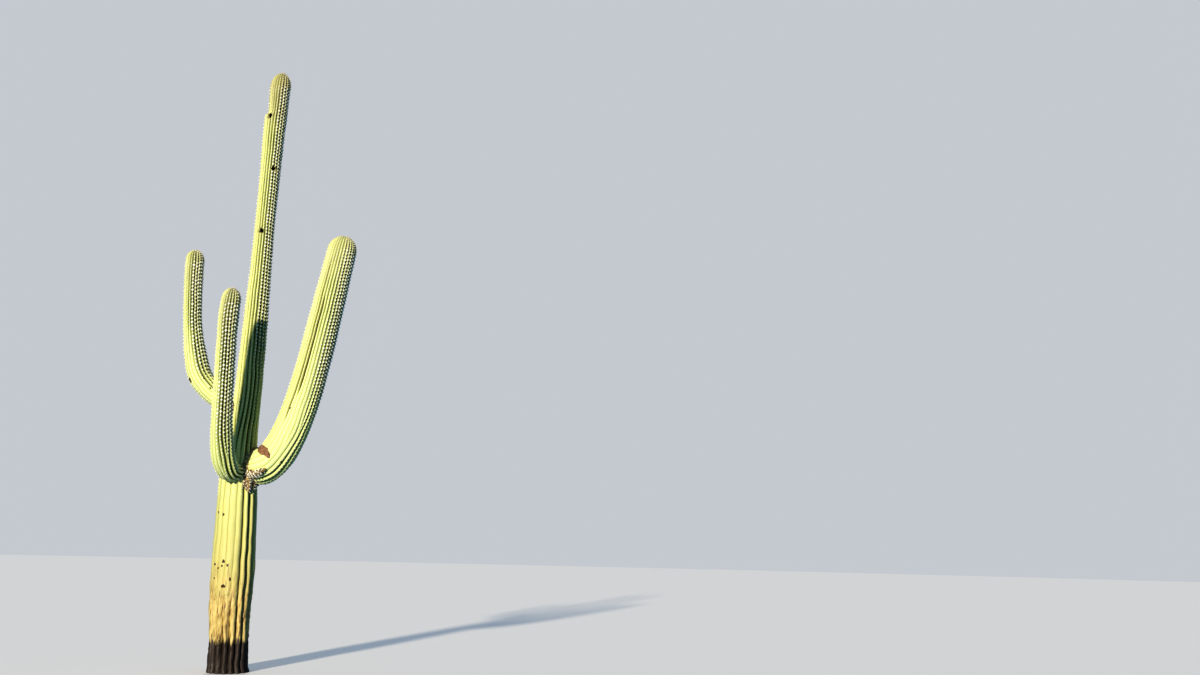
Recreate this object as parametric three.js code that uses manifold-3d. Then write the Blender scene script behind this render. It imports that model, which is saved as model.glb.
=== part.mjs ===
// A saguaro cactus: one tall ribbed trunk, and three arms that leave it, bend and stand up.
// Millimetres, +Z up. The trunk's foot is centred on the origin, and the ground is z = 0.
// Seen from the front, which is from -Y, the thickest arm is on the right.

import * as THREE from "three";
import { mergeVertices } from "three/addons/utils/BufferGeometryUtils.js";
import Module from "manifold-3d";

// What all four stems share.
const JOINT_GAP = 0.6; // clear space left between two solids that meet
const RIB_DEPTH = 0.4; // how deep a groove is, as a share of the rib's width
const GROOVE_POWER = 0.7; // under 1, ribs are broad and round and the grooves between them narrow
const DIVIDING_LENGTH = 400; // the stretch over which one rib becomes two
const DIVIDING_STRIDE = 5; // each rib that divides is this many ribs round from the one before
const FACETS_PER_RIB = 3;
const DOME_ROWS = 5;
const LINE_POINTS = 600; // fine points that a stem's smooth line is measured on

// A stem stands in its own frame: "out" runs away from the trunk, "side" to the left of that,
// and "up" is up. Each station is [out, side, up, girth], where girth is the width over the ribs.
// dividesAt gives the distances along the stem at which one more rib becomes two, and turn is how
// far the whole set of ribs is turned round the stem, in degrees.
// Near its foot a stem's grooves are only footDepth as deep, and grow to full depth by footLength.

const TRUNK = {
  joint: [0, 0, 0],
  heading: 0,
  stations: [
    [0, 0, 0, 552],
    [-8, 0, 130, 514],
    [-24, 0, 500, 512],
    [-40, 0, 900, 548],
    [-48, 0, 1300, 560],
    [-56, 0, 1750, 542],
    [-72, 0, 2250, 522],
    [-84, 0, 2600, 484],
    [-84, 0, 2950, 424],
    [-70, 0, 3300, 380],
    [-52, 0, 3850, 356],
    [-42, 0, 4700, 324],
    [-32, 0, 5700, 276],
    [-30, 0, 6300, 266],
    [-22, 0, 7000, 280],
    [-12, 0, 7600, 292],
    [2, 0, 8000, 292],
    [16, 0, 8260, 282],
  ],
  levelRings: true,
  domeHeight: 230,
  ribs: 17,
  turn: 121,
  dividesAt: [2400, 3100, 3800, 6600],
  footDepth: 0.45,
  footLength: 1000,
  rowStep: 380,
};

const RIGHT_ARM = {
  joint: [-80, 0, 2670],
  heading: -9,
  stations: [
    [50, -10, -5, 230],
    [170, -32, 5, 380],
    [270, -48, 25, 496],
    [382, -50, 80, 497],
    [494, -54, 213, 490],
    [590, -48, 408, 480],
    [696, -42, 705, 471],
    [836, -34, 1280, 458],
    [966, -18, 2030, 444],
    [1094, 2, 2830, 420],
    [1150, 10, 3170, 404],
  ],
  bendEnds: 6,
  domeHeight: 215,
  ribs: 19,
  turn: -6.5,
  dividesAt: [250, 330, 410, 490, 570, 650, 730, 820, 910, 1000],
  footDepth: 0.3,
  footLength: 450,
  rowStep: 105,
  uprightRowStep: 260,
};

const FRONT_ARM = {
  joint: [-80, 0, 2620],
  heading: -108,
  stations: [
    [30, 5, 10, 215],
    [253, 13, -18, 251],
    [390, -19, 8, 288],
    [509, -46, 123, 306],
    [637, -50, 334, 295],
    [744, -42, 619, 269],
    [804, -41, 1097, 252],
    [884, -29, 1685, 246],
    [930, -16, 1994, 253],
    [958, 4, 2177, 245],
  ],
  bendEnds: 5,
  domeHeight: 170,
  ribs: 14,
  turn: -1.5,
  dividesAt: [260, 350, 440, 540, 650],
  footDepth: 0.3,
  footLength: 400,
  rowStep: 115,
  uprightRowStep: 240,
};

const LEFT_ARM = {
  joint: [-60, 0, 3350],
  heading: 170,
  stations: [
    [5, -10, -20, 220],
    [134, -16, 100, 250],
    [294, -24, 210, 270],
    [512, -26, 392, 300],
    [666, -24, 595, 308],
    [754, -20, 900, 284],
    [812, -10, 1216, 246],
    [846, -4, 1550, 238],
    [870, 0, 1950, 244],
    [876, 2, 2215, 240],
  ],
  bendEnds: 5,
  domeHeight: 145,
  ribs: 14,
  turn: -10,
  dividesAt: [250, 350, 450, 560, 680],
  footDepth: 0.3,
  footLength: 400,
  rowStep: 115,
  uprightRowStep: 220,
};

// The smooth line through a stem's stations. It gives the centre, the radius and the direction
// at any distance along the stem, and the distance at which a station lies.
function lineThrough(stations) {
  const rows = stations.map(([out, side, up, girth]) => [out, side, up, girth / 2]);
  const last = rows.length - 1;
  const apart = (a, b) => Math.hypot(b[0] - a[0], b[1] - a[1], b[2] - a[2]);
  const knots = [0];
  for (let i = 1; i <= last; i++) knots.push(knots[i - 1] + Math.sqrt(apart(rows[i - 1], rows[i])));
  const slopes = rows.map((_, i) => {
    const before = Math.max(i - 1, 0);
    const after = Math.min(i + 1, last);
    return rows[before].map((v, k) => (rows[after][k] - v) / (knots[after] - knots[before]));
  });

  function atKnot(t) {
    let i = 0;
    while (i < last - 1 && t >= knots[i + 1]) i++;
    const h = knots[i + 1] - knots[i];
    const s = (t - knots[i]) / h;
    const a = 2 * s ** 3 - 3 * s ** 2 + 1;
    const b = s ** 3 - 2 * s ** 2 + s;
    const c = s ** 3 - s ** 2;
    return rows[i].map(
      (v, k) => a * v + b * h * slopes[i][k] + (1 - a) * rows[i + 1][k] + c * h * slopes[i + 1][k],
    );
  }

  const points = [];
  const distances = [0];
  for (let n = 0; n <= LINE_POINTS; n++) {
    points.push(atKnot((knots[last] * n) / LINE_POINTS));
    if (n > 0) distances.push(distances[n - 1] + apart(points[n - 1], points[n]));
  }

  function at(distance) {
    let n = 0;
    while (n < LINE_POINTS - 1 && distance >= distances[n + 1]) n++;
    const share = (distance - distances[n]) / (distances[n + 1] - distances[n]);
    const [out, side, up, radius] = points[n].map((v, k) => v + share * (points[n + 1][k] - v));
    const before = points[Math.max(n - 1, 0)];
    const after = points[Math.min(n + 2, LINE_POINTS)];
    const direction = new THREE.Vector3(...after).sub(new THREE.Vector3(...before)).normalize();
    return { centre: new THREE.Vector3(out, side, up), radius, direction };
  }

  const stationDistance = (i) => {
    const n = Math.round((knots[i] / knots[last]) * LINE_POINTS);
    return distances[n];
  };
  return { at, stationDistance, length: distances[LINE_POINTS] };
}

// How wide each of the stem's first ribs is at a distance along it: 1, growing to 2 as it divides.
function ribWidths(stem, distance) {
  const widths = new Array(stem.ribs).fill(1);
  stem.dividesAt.forEach((start, k) => {
    const rib = (k * DIVIDING_STRIDE) % stem.ribs;
    widths[rib] += THREE.MathUtils.smoothstep(distance, start, start + DIVIDING_LENGTH);
  });
  return widths;
}

// The height of a rib's skin above its groove, from 0 to 1, at a share of the way across it.
// divided is 0 for one rib, and 1 where a groove has parted it into two.
function ribProfile(share, divided) {
  const whole = Math.abs(Math.sin(Math.PI * share)) ** GROOVE_POWER;
  const halves = Math.abs(Math.sin(2 * Math.PI * share)) ** GROOVE_POWER;
  return (1 - divided) * whole + divided * halves;
}

// One ring of skin points round the stem, square to it, or level where the stem's rings are level.
// narrowed is 1 on the stem and falls to 0 up the dome. grow moves the skin out, for a solid that
// cuts its neighbour clear.
function ringAt(stem, distance, { centre, radius, direction }, narrowed, grow) {
  const facing = stem.levelRings ? new THREE.Vector3(0, 0, 1) : direction;
  const side = new THREE.Vector3(0, 1, 0);
  side.addScaledVector(facing, -side.dot(facing)).normalize();
  const under = new THREE.Vector3().crossVectors(side, facing);
  const widths = ribWidths(stem, distance);
  const total = widths.reduce((sum, width) => sum + width, 0);
  const foot = THREE.MathUtils.smoothstep(distance, 0, stem.footLength);
  const fade = stem.footDepth + (1 - stem.footDepth) * foot;
  const depth = (RIB_DEPTH * fade * 2 * Math.PI * radius) / total;
  const starts = widths.map((_, rib) => widths.slice(0, rib).reduce((sum, w) => sum + w, 0));
  // A rib that divides pushes its neighbours apart on both sides, and doesn't turn the whole ring.
  const turned = starts.reduce((sum, s, rib) => sum + s / total - rib / stem.ribs, 0) / stem.ribs;
  const turn = THREE.MathUtils.degToRad(stem.turn);
  const ring = [];
  widths.forEach((width, rib) => {
    const divides = stem.dividesAt.some((_, k) => (k * DIVIDING_STRIDE) % stem.ribs === rib);
    const facets = divides ? 2 * FACETS_PER_RIB : FACETS_PER_RIB;
    for (let f = 0; f < facets; f++) {
      const share = f / facets;
      const angle = 2 * Math.PI * ((starts[rib] + share * width) / total - turned) + turn;
      const r = (radius - depth * (1 - ribProfile(share, width - 1))) * narrowed + grow;
      const point = centre.clone();
      point.addScaledVector(under, r * Math.cos(angle)).addScaledVector(side, r * Math.sin(angle));
      ring.push(point);
    }
  });
  return ring;
}

// A closed stretch of stem. Its foot is a flat cut, and its top is a flat cut or the stem's dome.
// footGap and topGap draw the cut back from its place, square to the stem.
function stretchOfStem(stem, { from, to, rowStep, grow = 0, footGap = 0, topGap = 0 }) {
  const line = lineThrough(stem.stations);
  const endsInDome = to === undefined;
  const end = endsInDome ? line.length : to;
  const rows = Math.ceil((end - from) / rowStep);
  const rings = [];
  for (let n = 0; n <= rows; n++) {
    const distance = from + ((end - from) * n) / rows;
    const place = line.at(distance);
    if (n === 0) place.centre.addScaledVector(place.direction, footGap);
    if (n === rows) place.centre.addScaledVector(place.direction, -topGap);
    rings.push(ringAt(stem, distance, place, 1, grow));
  }
  const foot = line.at(from);
  foot.centre.addScaledVector(foot.direction, footGap);
  const top = line.at(end);
  top.centre.addScaledVector(top.direction, -topGap);
  let tip = top.centre;
  if (endsInDome) {
    for (let n = 1; n < DOME_ROWS; n++) {
      const turned = (Math.PI / 2) * (n / DOME_ROWS);
      const risen = stem.domeHeight * Math.sin(turned);
      const centre = top.centre.clone().addScaledVector(top.direction, risen);
      rings.push(ringAt(stem, end, { ...top, centre }, Math.cos(turned), grow));
    }
    tip = top.centre.clone().addScaledVector(top.direction, stem.domeHeight);
  }

  const points = [...rings.flat(), foot.centre, tip];
  const across = rings[0].length;
  const footPoint = points.length - 2;
  const tipPoint = points.length - 1;
  const faces = [];
  for (let row = 0; row < rings.length - 1; row++) {
    for (let i = 0; i < across; i++) {
      const a = row * across + i;
      const b = row * across + ((i + 1) % across);
      faces.push(a, b, b + across, a, b + across, a + across);
    }
  }
  const lastRow = (rings.length - 1) * across;
  for (let i = 0; i < across; i++) {
    const next = (i + 1) % across;
    faces.push(next, i, footPoint, lastRow + i, lastRow + next, tipPoint);
  }
  const geometry = new THREE.BufferGeometry().setFromPoints(points);
  return geometry.setIndex(faces);
}

const wasm = await Module();
wasm.setup();

function solidOf(geometry) {
  const bare = geometry.clone();
  bare.deleteAttribute("normal");
  bare.deleteAttribute("uv");
  const merged = mergeVertices(bare);
  return new wasm.Manifold(
    new wasm.Mesh({
      numProp: 3,
      vertProperties: merged.attributes.position.array,
      triVerts: new Uint32Array(merged.index.array),
    }),
  );
}

function geometryOf(solid) {
  const mesh = solid.getMesh();
  return new THREE.BufferGeometry()
    .setAttribute("position", new THREE.BufferAttribute(mesh.vertProperties, 3))
    .setIndex(new THREE.BufferAttribute(mesh.triVerts, 1));
}

// A cut can leave a loose scrap in a groove, so the largest body is the one kept.
function largestBody(solid) {
  const bodies = solid.decompose();
  return bodies.reduce((most, body) => (body.volume() > most.volume() ? body : most));
}

// The skin's colours: the trunk is older and paler than the arms.
const TRUNK_SKIN = new THREE.MeshStandardMaterial({ color: "#a3a468", roughness: 0.75 });
const ARM_SKIN = new THREE.MeshStandardMaterial({ color: "#8f9d55", roughness: 0.7 });

function named(name, geometry, material) {
  geometry.computeVertexNormals();
  const mesh = new THREE.Mesh(geometry, material);
  mesh.name = name;
  return mesh;
}

function makeTrunk() {
  const geometry = stretchOfStem(TRUNK, { from: 0, rowStep: TRUNK.rowStep });
  return named("trunk", geometry, TRUNK_SKIN);
}

// An arm is two solids, parted at the top of its bend by a flat gap. Its elbow starts inside
// the trunk and is cut back to just clear of the trunk's skin.
function makeArm(name, arm) {
  const group = new THREE.Group();
  group.position.set(...arm.joint);
  group.rotation.z = THREE.MathUtils.degToRad(arm.heading);
  group.updateMatrixWorld(true);

  const bendEnd = lineThrough(arm.stations).stationDistance(arm.bendEnds);
  const wholeElbow = stretchOfStem(arm, {
    from: 0,
    to: bendEnd,
    rowStep: arm.rowStep,
    topGap: JOINT_GAP / 2,
  });
  const trunkSkin = stretchOfStem(TRUNK, { from: 0, rowStep: TRUNK.rowStep, grow: JOINT_GAP });
  trunkSkin.applyMatrix4(group.matrixWorld.clone().invert());
  const cutElbow = solidOf(wholeElbow).subtract(solidOf(trunkSkin));
  const elbow = geometryOf(largestBody(cutElbow));
  const upright = stretchOfStem(arm, {
    from: bendEnd,
    rowStep: arm.uprightRowStep,
    footGap: JOINT_GAP / 2,
  });
  group.add(named(name + "_elbow", elbow, ARM_SKIN));
  group.add(named(name + "_upright", upright, ARM_SKIN));
  return group;
}

const saguaro = new THREE.Group();
saguaro.add(makeTrunk());
saguaro.add(makeArm("right_arm", RIGHT_ARM));
saguaro.add(makeArm("front_arm", FRONT_ARM));
saguaro.add(makeArm("left_arm", LEFT_ARM));

export default saguaro;
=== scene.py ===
# %% [markdown]
# # A saguaro cactus
#
# This is a living column of water-storing flesh, eight and a half metres tall, with three arms.
# Its shape has one rule. A stem is a smooth line with a girth along it, and the skin round that
# line is pleated into ribs, which fold and open as the plant drinks. Along every rib's crest runs
# a row of woolly pads, called areoles, and each pad grows a cluster of spines.
#
# The lesson follows that rule. Python lays out plain sleeves round the stems' lines and notes on
# every point which rib it belongs to. Geometry Nodes read the notes, raise the ribs, and grow the
# areoles and spines along the crests. Scars, corky bark and bird holes come last.

# %% Load the frame
import math

import bmesh
import bpy
import numpy as np
from mathutils import Matrix, Vector


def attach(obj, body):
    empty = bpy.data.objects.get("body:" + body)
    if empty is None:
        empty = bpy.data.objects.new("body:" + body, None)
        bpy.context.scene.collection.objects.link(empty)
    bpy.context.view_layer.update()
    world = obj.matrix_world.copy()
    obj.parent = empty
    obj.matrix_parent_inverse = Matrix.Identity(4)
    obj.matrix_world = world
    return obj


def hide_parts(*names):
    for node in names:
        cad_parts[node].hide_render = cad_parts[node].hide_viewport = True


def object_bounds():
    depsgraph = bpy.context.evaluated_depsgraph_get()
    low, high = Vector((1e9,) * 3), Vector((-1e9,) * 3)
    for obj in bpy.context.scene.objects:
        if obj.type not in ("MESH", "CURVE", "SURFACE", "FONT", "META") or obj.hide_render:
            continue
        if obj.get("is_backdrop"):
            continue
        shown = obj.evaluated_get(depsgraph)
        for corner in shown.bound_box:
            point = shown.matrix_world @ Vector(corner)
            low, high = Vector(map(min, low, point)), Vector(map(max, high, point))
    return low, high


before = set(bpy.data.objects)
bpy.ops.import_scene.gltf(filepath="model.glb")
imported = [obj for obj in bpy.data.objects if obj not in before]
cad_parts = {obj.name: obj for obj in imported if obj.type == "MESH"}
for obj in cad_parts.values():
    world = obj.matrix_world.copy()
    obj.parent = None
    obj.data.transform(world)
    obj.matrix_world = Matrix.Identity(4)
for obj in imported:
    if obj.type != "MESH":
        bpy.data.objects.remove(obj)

MM = 0.001
cad_low, cad_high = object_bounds()
print("frame size in metres", [round(v, 3) for v in cad_high - cad_low])

# %% [markdown]
# ## Helpers
#
# Colours are written as hex values, the way a paint chart gives them, but shaders count light, so
# one function turns a hex value to linear light. The next adds a node to any tree, with its
# settings and what its inputs hold or are linked to, and hands back the output to link next. The
# others set a colour ramp's stops, start a material, and put a mesh, lamp or camera in the scene.

# %% Colour, node and object helpers
def linear(hex_colour):
    """The linear RGBA of an sRGB colour such as "#a3a468"."""
    channels = [int(hex_colour[i : i + 2], 16) / 255 for i in (1, 3, 5)]
    return [c / 12.92 if c <= 0.04045 else ((c + 0.055) / 1.055) ** 2.4 for c in channels] + [1.0]


def add(tree, kind, inputs=None, output=0, **settings):
    """Adds one node. An input is given by name or number, as a value or as a socket to link."""
    node = tree.nodes.new(kind)
    for name, value in settings.items():
        setattr(node, name, value)
    for socket, value in (inputs or {}).items():
        if isinstance(value, bpy.types.NodeSocket):
            tree.links.new(value, node.inputs[socket])
        else:
            node.inputs[socket].default_value = value
    return node.outputs[output] if len(node.outputs) else node


def ramp(output, *stops):
    """Sets the stops of the colour ramp that this output belongs to, as (place, hex colour)."""
    band = output.node.color_ramp
    while len(band.elements) < len(stops):
        band.elements.new(1.0)
    for element, (place, colour) in zip(band.elements, stops):
        element.position = place
        element.color = linear(colour)
    return output


def new_material(name):
    """A material with an empty node tree, and that tree."""
    material = bpy.data.materials.new(name)
    material.use_nodes = True
    material.node_tree.nodes.clear()
    return material, material.node_tree


def placed(name, data):
    """An object of this name, at the origin of the scene, that shows the data."""
    made = bpy.data.objects.new(name, data)
    bpy.context.scene.collection.objects.link(made)
    return made


# %% [markdown]
# ## Camera
#
# The picture was taken from standing eye height with a moderately wide lens, tilted up to hold the
# whole plant, and held a little crooked. A camera needs where it stands, which way it looks and its
# lens. The three turns are worked out as axes, because that keeps the roll apart from the tilt.

# %% Camera
EYE = Vector((0.0, -15.462, 1.6))
YAW = math.radians(18.13)
TILT = math.radians(11.6)
ROLL = math.radians(1.3)
FRAME_WIDTH_PX = 1200
FOCAL_PX = 1067
SENSOR_MM = 36
FARTHEST_SEEN = 500

level_forward = Vector((math.sin(YAW), math.cos(YAW), 0))
level_right = Vector((math.cos(YAW), -math.sin(YAW), 0))
forward = level_forward * math.cos(TILT) + Vector((0, 0, math.sin(TILT)))
level_up = Vector((0, 0, math.cos(TILT))) - level_forward * math.sin(TILT)
right = level_right * math.cos(ROLL) + level_up * math.sin(ROLL)
up = level_up * math.cos(ROLL) - level_right * math.sin(ROLL)

lens = bpy.data.cameras.new("camera")
lens.sensor_width = SENSOR_MM
lens.lens = SENSOR_MM * FOCAL_PX / FRAME_WIDTH_PX
lens.clip_end = FARTHEST_SEEN
camera = placed("camera", lens)
camera.matrix_world = Matrix.Translation(EYE) @ Matrix((right, up, -forward)).transposed().to_4x4()
bpy.context.scene.camera = camera
print("lens", round(lens.lens, 1), "mm")

# %% [markdown]
# ## Light and floor
#
# The daylight came from low on the left, behind the viewer, so each stem is bright on its left and
# falls off to a dark strip on its right. One key from that side, a little softer than the sun, does
# this in a studio. A weak even light from all round keeps the dark side readable, and a broad soft
# one from behind shows the far side to a viewer who walks round. The floor is plain and pale, and
# glows a little, so that the long shadow on it stays soft. The view's contrast is raised, because
# the picture is crisp, with bright crests beside nearly black grooves.

# %% Light and floor
# Each is (direction of the light, strength, width of the source in degrees, colour).
SUNS = {
    "key": (Vector((0.49, 0.84, -0.245)), 4.0, 3, "#fff4dc"),
    "back": (Vector((-0.05, -0.96, -0.27)), 1.8, 24, "#f4f5ff"),
}
FILL_STRENGTH = 0.25
BACKDROP_STRENGTH = 0.62
FLOOR_COLOUR = linear("#e6dfda")
FLOOR_GLOW = 0.1
FLOOR_RADIUS = 160.0
FLOOR_CORNERS = 96

bpy.context.scene.view_settings.view_transform = "Standard"
bpy.context.scene.view_settings.look = "High Contrast"

for name, (direction, strength, softness, colour) in SUNS.items():
    sun = bpy.data.lights.new(name, "SUN")
    sun.energy = strength
    sun.angle = math.radians(softness)
    sun.color = linear(colour)[:3]
    lamp = placed(name, sun)
    lamp.rotation_mode = "QUATERNION"
    lamp.rotation_quaternion = direction.to_track_quat("-Z", "Y")

world = bpy.data.worlds.new("studio")
world.use_nodes = True
world.node_tree.nodes.clear()
seen = add(world.node_tree, "ShaderNodeLightPath", output="Is Camera Ray")
fill = add(world.node_tree, "ShaderNodeBackground", {0: linear("#84c6f6"), 1: FILL_STRENGTH})
backdrop = add(world.node_tree, "ShaderNodeBackground", {0: linear("#d9dde3"), 1: BACKDROP_STRENGTH})
both = add(world.node_tree, "ShaderNodeMixShader", {0: seen, 1: fill, 2: backdrop})
add(world.node_tree, "ShaderNodeOutputWorld", {0: both})
bpy.context.scene.world = world

floor_mesh = bpy.data.meshes.new("floor")
turns = [2 * math.pi * n / FLOOR_CORNERS for n in range(FLOOR_CORNERS)]
rim = [(FLOOR_RADIUS * math.cos(t), FLOOR_RADIUS * math.sin(t), 0) for t in turns]
floor_mesh.from_pydata(rim, [], [range(FLOOR_CORNERS)])
floor = placed("floor", floor_mesh)
floor_paint, paint_tree = new_material("matt floor paint")
matt = {"Base Color": FLOOR_COLOUR, "Roughness": 0.9, "Specular IOR Level": 0.0}
matt |= {"Emission Color": FLOOR_COLOUR, "Emission Strength": FLOOR_GLOW}
painted = add(paint_tree, "ShaderNodeBsdfPrincipled", matt)
add(paint_tree, "ShaderNodeOutputMaterial", {0: painted})
floor_mesh.materials.append(floor_paint)
floor.visible_diffuse = False
floor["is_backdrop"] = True
print("floor", FLOOR_RADIUS * 2, "m across")

# %% [markdown]
# ## The four stems
#
# These are the plant's driving sizes, the same as in its construction, in millimetres. A stem has
# its own directions: out from the trunk, to the side, and up. Each station is a place that the
# stem's middle passes through, with its width over the ribs. A rib divides in two where the stem
# grows stout, so a stem has more ribs at its top than at its foot.

# %% Stem sizes
DIVIDING_LENGTH = 400
DIVIDING_STRIDE = 5
LINE_POINTS = 600

STEMS = {
    "trunk": {
        "joint": (0, 0, 0),
        "heading": 0,
        "stations": [
            (0, 0, 0, 552), (-8, 0, 130, 514), (-24, 0, 500, 512), (-40, 0, 900, 548),
            (-48, 0, 1300, 560), (-56, 0, 1750, 542), (-72, 0, 2250, 522), (-84, 0, 2600, 484),
            (-84, 0, 2950, 424), (-70, 0, 3300, 380), (-52, 0, 3850, 356), (-42, 0, 4700, 324),
            (-32, 0, 5700, 276), (-30, 0, 6300, 266), (-22, 0, 7000, 280), (-12, 0, 7600, 292),
            (2, 0, 8000, 292), (16, 0, 8260, 282),
        ],
        "level_rings": True,
        "dome_height": 230,
        "ribs": 17,
        "turn": 121,
        "divides_at": [2400, 3100, 3800, 6600],
        "foot_depth": 0.45,
        "foot_length": 1000,
    },
    "right_arm": {
        "joint": (-80, 0, 2670),
        "heading": -9,
        "stations": [
            (50, -10, -5, 230), (170, -32, 5, 380), (270, -48, 25, 496), (382, -50, 80, 497),
            (494, -54, 213, 490), (590, -48, 408, 480), (696, -42, 705, 471),
            (836, -34, 1280, 458), (966, -18, 2030, 444), (1094, 2, 2830, 420),
            (1150, 10, 3170, 404),
        ],
        "dome_height": 215,
        "ribs": 19,
        "turn": -6.5,
        "divides_at": [250, 330, 410, 490, 570, 650, 730, 820, 910, 1000],
        "foot_depth": 0.3,
        "foot_length": 450,
    },
    "front_arm": {
        "joint": (-80, 0, 2620),
        "heading": -108,
        "stations": [
            (30, 5, 10, 215), (253, 13, -18, 251), (390, -19, 8, 288), (509, -46, 123, 306),
            (637, -50, 334, 295), (744, -42, 619, 269), (804, -41, 1097, 252),
            (884, -29, 1685, 246), (930, -16, 1994, 253), (958, 4, 2177, 245),
        ],
        "dome_height": 170,
        "ribs": 14,
        "turn": -1.5,
        "divides_at": [260, 350, 440, 540, 650],
        "foot_depth": 0.3,
        "foot_length": 400,
    },
    "left_arm": {
        "joint": (-60, 0, 3350),
        "heading": 170,
        "stations": [
            (5, -10, -20, 220), (134, -16, 100, 250), (294, -24, 210, 270), (512, -26, 392, 300),
            (666, -24, 595, 308), (754, -20, 900, 284), (812, -10, 1216, 246),
            (846, -4, 1550, 238), (870, 0, 1950, 244), (876, 2, 2215, 240),
        ],
        "dome_height": 145,
        "ribs": 14,
        "turn": -10,
        "divides_at": [250, 350, 450, 560, 680],
        "foot_depth": 0.3,
        "foot_length": 400,
    },
}
ARMS = ["right_arm", "front_arm", "left_arm"]

# %% [markdown]
# ## What makes this plant itself
#
# Two features break the rule of the plain ribbed column. Just under the trunk's highest hole the
# left side stands out like a shoulder, where the stem once stopped and grew on narrower. On the
# thick arm two neighbouring grooves are folded deeper than the rest, and are brown inside.
#
# Elsewhere the ribs all but vanish: the lower trunk and the foot of the thick arm are swollen with
# water on the side that the sun reaches first, and their skin is stretched nearly smooth. Further
# up, that side stays fuller than the other, and its skin is painted paler, as painted light. The
# other side's skin is painted darker, as painted shade, and there the ribs stand out sharply and
# the spines are at their whitest and thickest.
#
# All are kept as short lists beside the sizes: a shoulder as a change of the stem's radius round
# one place, a worn groove by the number of the rib that it starts, and a swollen face by where it
# begins, is full and fades.

# %% Shoulder, worn grooves and swollen faces
# Each is (distance along the stem, angle and width in degrees; how far out and in; how far the
# swelling reaches down, the step reaches up, and the hollow reaches up), lengths in millimetres.
SHOULDERS = {"trunk": (7790, 200, 85, 12, 34, 700, 60, 520)}
WORN_GROOVES = {"right_arm": [(13, 900, 3450), (14, 1300, 2900)]}
WORN_DEEPER = 0.8
WORN_FADE = 300
# Each is (angle, width in degrees; from, full, fading, to in mm along the stem; share kept above).
# The angle is the side towards the key light, whose skin colour is also painted paler, as painted
# light.
SWOLLEN_AND_LIT_FACES = {
    "trunk": (229, 86, 300, 1000, 2700, 3300, 0.5),
    "right_arm": (238, 100, 0, 120, 1200, 3300, 0.5),
    "front_arm": (300, 92, 0, 400, 1000, 2400, 0.25),
    "left_arm": (50, 78, 0, 400, 900, 2000, 0.15),
}
SWOLLEN_FLATTER = 0.9
# A sunny side is full, and ends, at these shares of its width.
SWOLLEN_AND_LIT_EDGE = (0.45, 1.0)
BARE_AND_LIT_EDGE = (0.35, 0.65)

# %% [markdown]
# ## A stem's smooth line
#
# A living stem has no corners, so a smooth curve goes through the stations. A Hermite curve does
# this: at each station it leaves in the direction from the station before to the one after. The
# curve is measured once at many fine points, and any distance along it is then looked up.

# %% The line through the stations
def smoothstep(value, low, high):
    share = np.clip((value - low) / (high - low), 0, 1)
    return share * share * (3 - 2 * share)


def measure_line(stem):
    """Adds to a stem its finely measured line: centres, radii and directions, in metres."""
    rows = np.array(stem["stations"], float) * MM
    rows[:, 3] /= 2
    last = len(rows) - 1
    apart = np.linalg.norm(np.diff(rows[:, :3], axis=0), axis=1)
    knots = np.concatenate([[0], np.cumsum(np.sqrt(apart))])
    before = np.maximum(np.arange(last + 1) - 1, 0)
    after = np.minimum(np.arange(last + 1) + 1, last)
    slopes = (rows[after] - rows[before]) / (knots[after] - knots[before])[:, None]
    time = np.linspace(0, knots[-1], LINE_POINTS + 1)
    i = np.clip(np.searchsorted(knots, time, side="right") - 1, 0, last - 1)
    h = (knots[i + 1] - knots[i])[:, None]
    s = (time - knots[i])[:, None] / h
    a = 2 * s**3 - 3 * s**2 + 1
    b = s**3 - 2 * s**2 + s
    c = s**3 - s**2
    points = a * rows[i] + b * h * slopes[i] + (1 - a) * rows[i + 1] + c * h * slopes[i + 1]
    steps = np.linalg.norm(np.diff(points[:, :3], axis=0), axis=1)
    stem["distances"] = np.concatenate([[0], np.cumsum(steps)])
    stem["length"] = stem["distances"][-1]
    stem["points"] = points
    stem["directions"] = np.gradient(points[:, :3], axis=0)


for name, stem in STEMS.items():
    measure_line(stem)
    print(name, "is", round(stem["length"], 3), "m long to the foot of its dome")

# %% [markdown]
# ## The sleeve
#
# A sleeve is the stem's skin with its ribs still flat. Every point of it is known by three numbers:
# the distance along the stem, the rib, and the share of the way across that rib. Past the end of
# the line the sleeve rounds over into a dome, where the same three numbers go on.
#
# Each point also carries notes for Geometry Nodes: which way is inward, sideways and outward, how
# deep and sharp its groove is, how far its rib has divided, how high it stands off the skin, how
# worn its groove is, how swollen it is, how bare of spines and how young. The swollen and bare notes
# also mark the sides towards and away from the key light, which the skin's colour paints as light
# and shade. The construction has shallower ribs than the skin, because its few flat facets could
# not show the narrow grooves that the light picks out here.

# %% Ribs, and the rings that they stand on
def rib_widths(stem, distance):
    """The width of each of the stem's first ribs at each distance: 1, growing to 2 as it divides."""
    widths = np.ones((len(distance), stem["ribs"]))
    for k, start in enumerate(stem["divides_at"]):
        rib = (k * DIVIDING_STRIDE) % stem["ribs"]
        widths[:, rib] += smoothstep(distance, start * MM, (start + DIVIDING_LENGTH) * MM)
    return widths


def interpolate(stem, distance, values):
    return np.stack([np.interp(distance, stem["distances"], v) for v in values.T], axis=1)


def unit(vectors):
    return vectors / np.linalg.norm(vectors, axis=1, keepdims=True)


def to_plant(stem, vectors):
    """Turns vectors from the stem's own directions to the plant's."""
    turn = math.radians(stem["heading"])
    cos, sin = math.cos(turn), math.sin(turn)
    return vectors @ np.array([[cos, sin, 0], [-sin, cos, 0], [0, 0, 1]])


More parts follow.
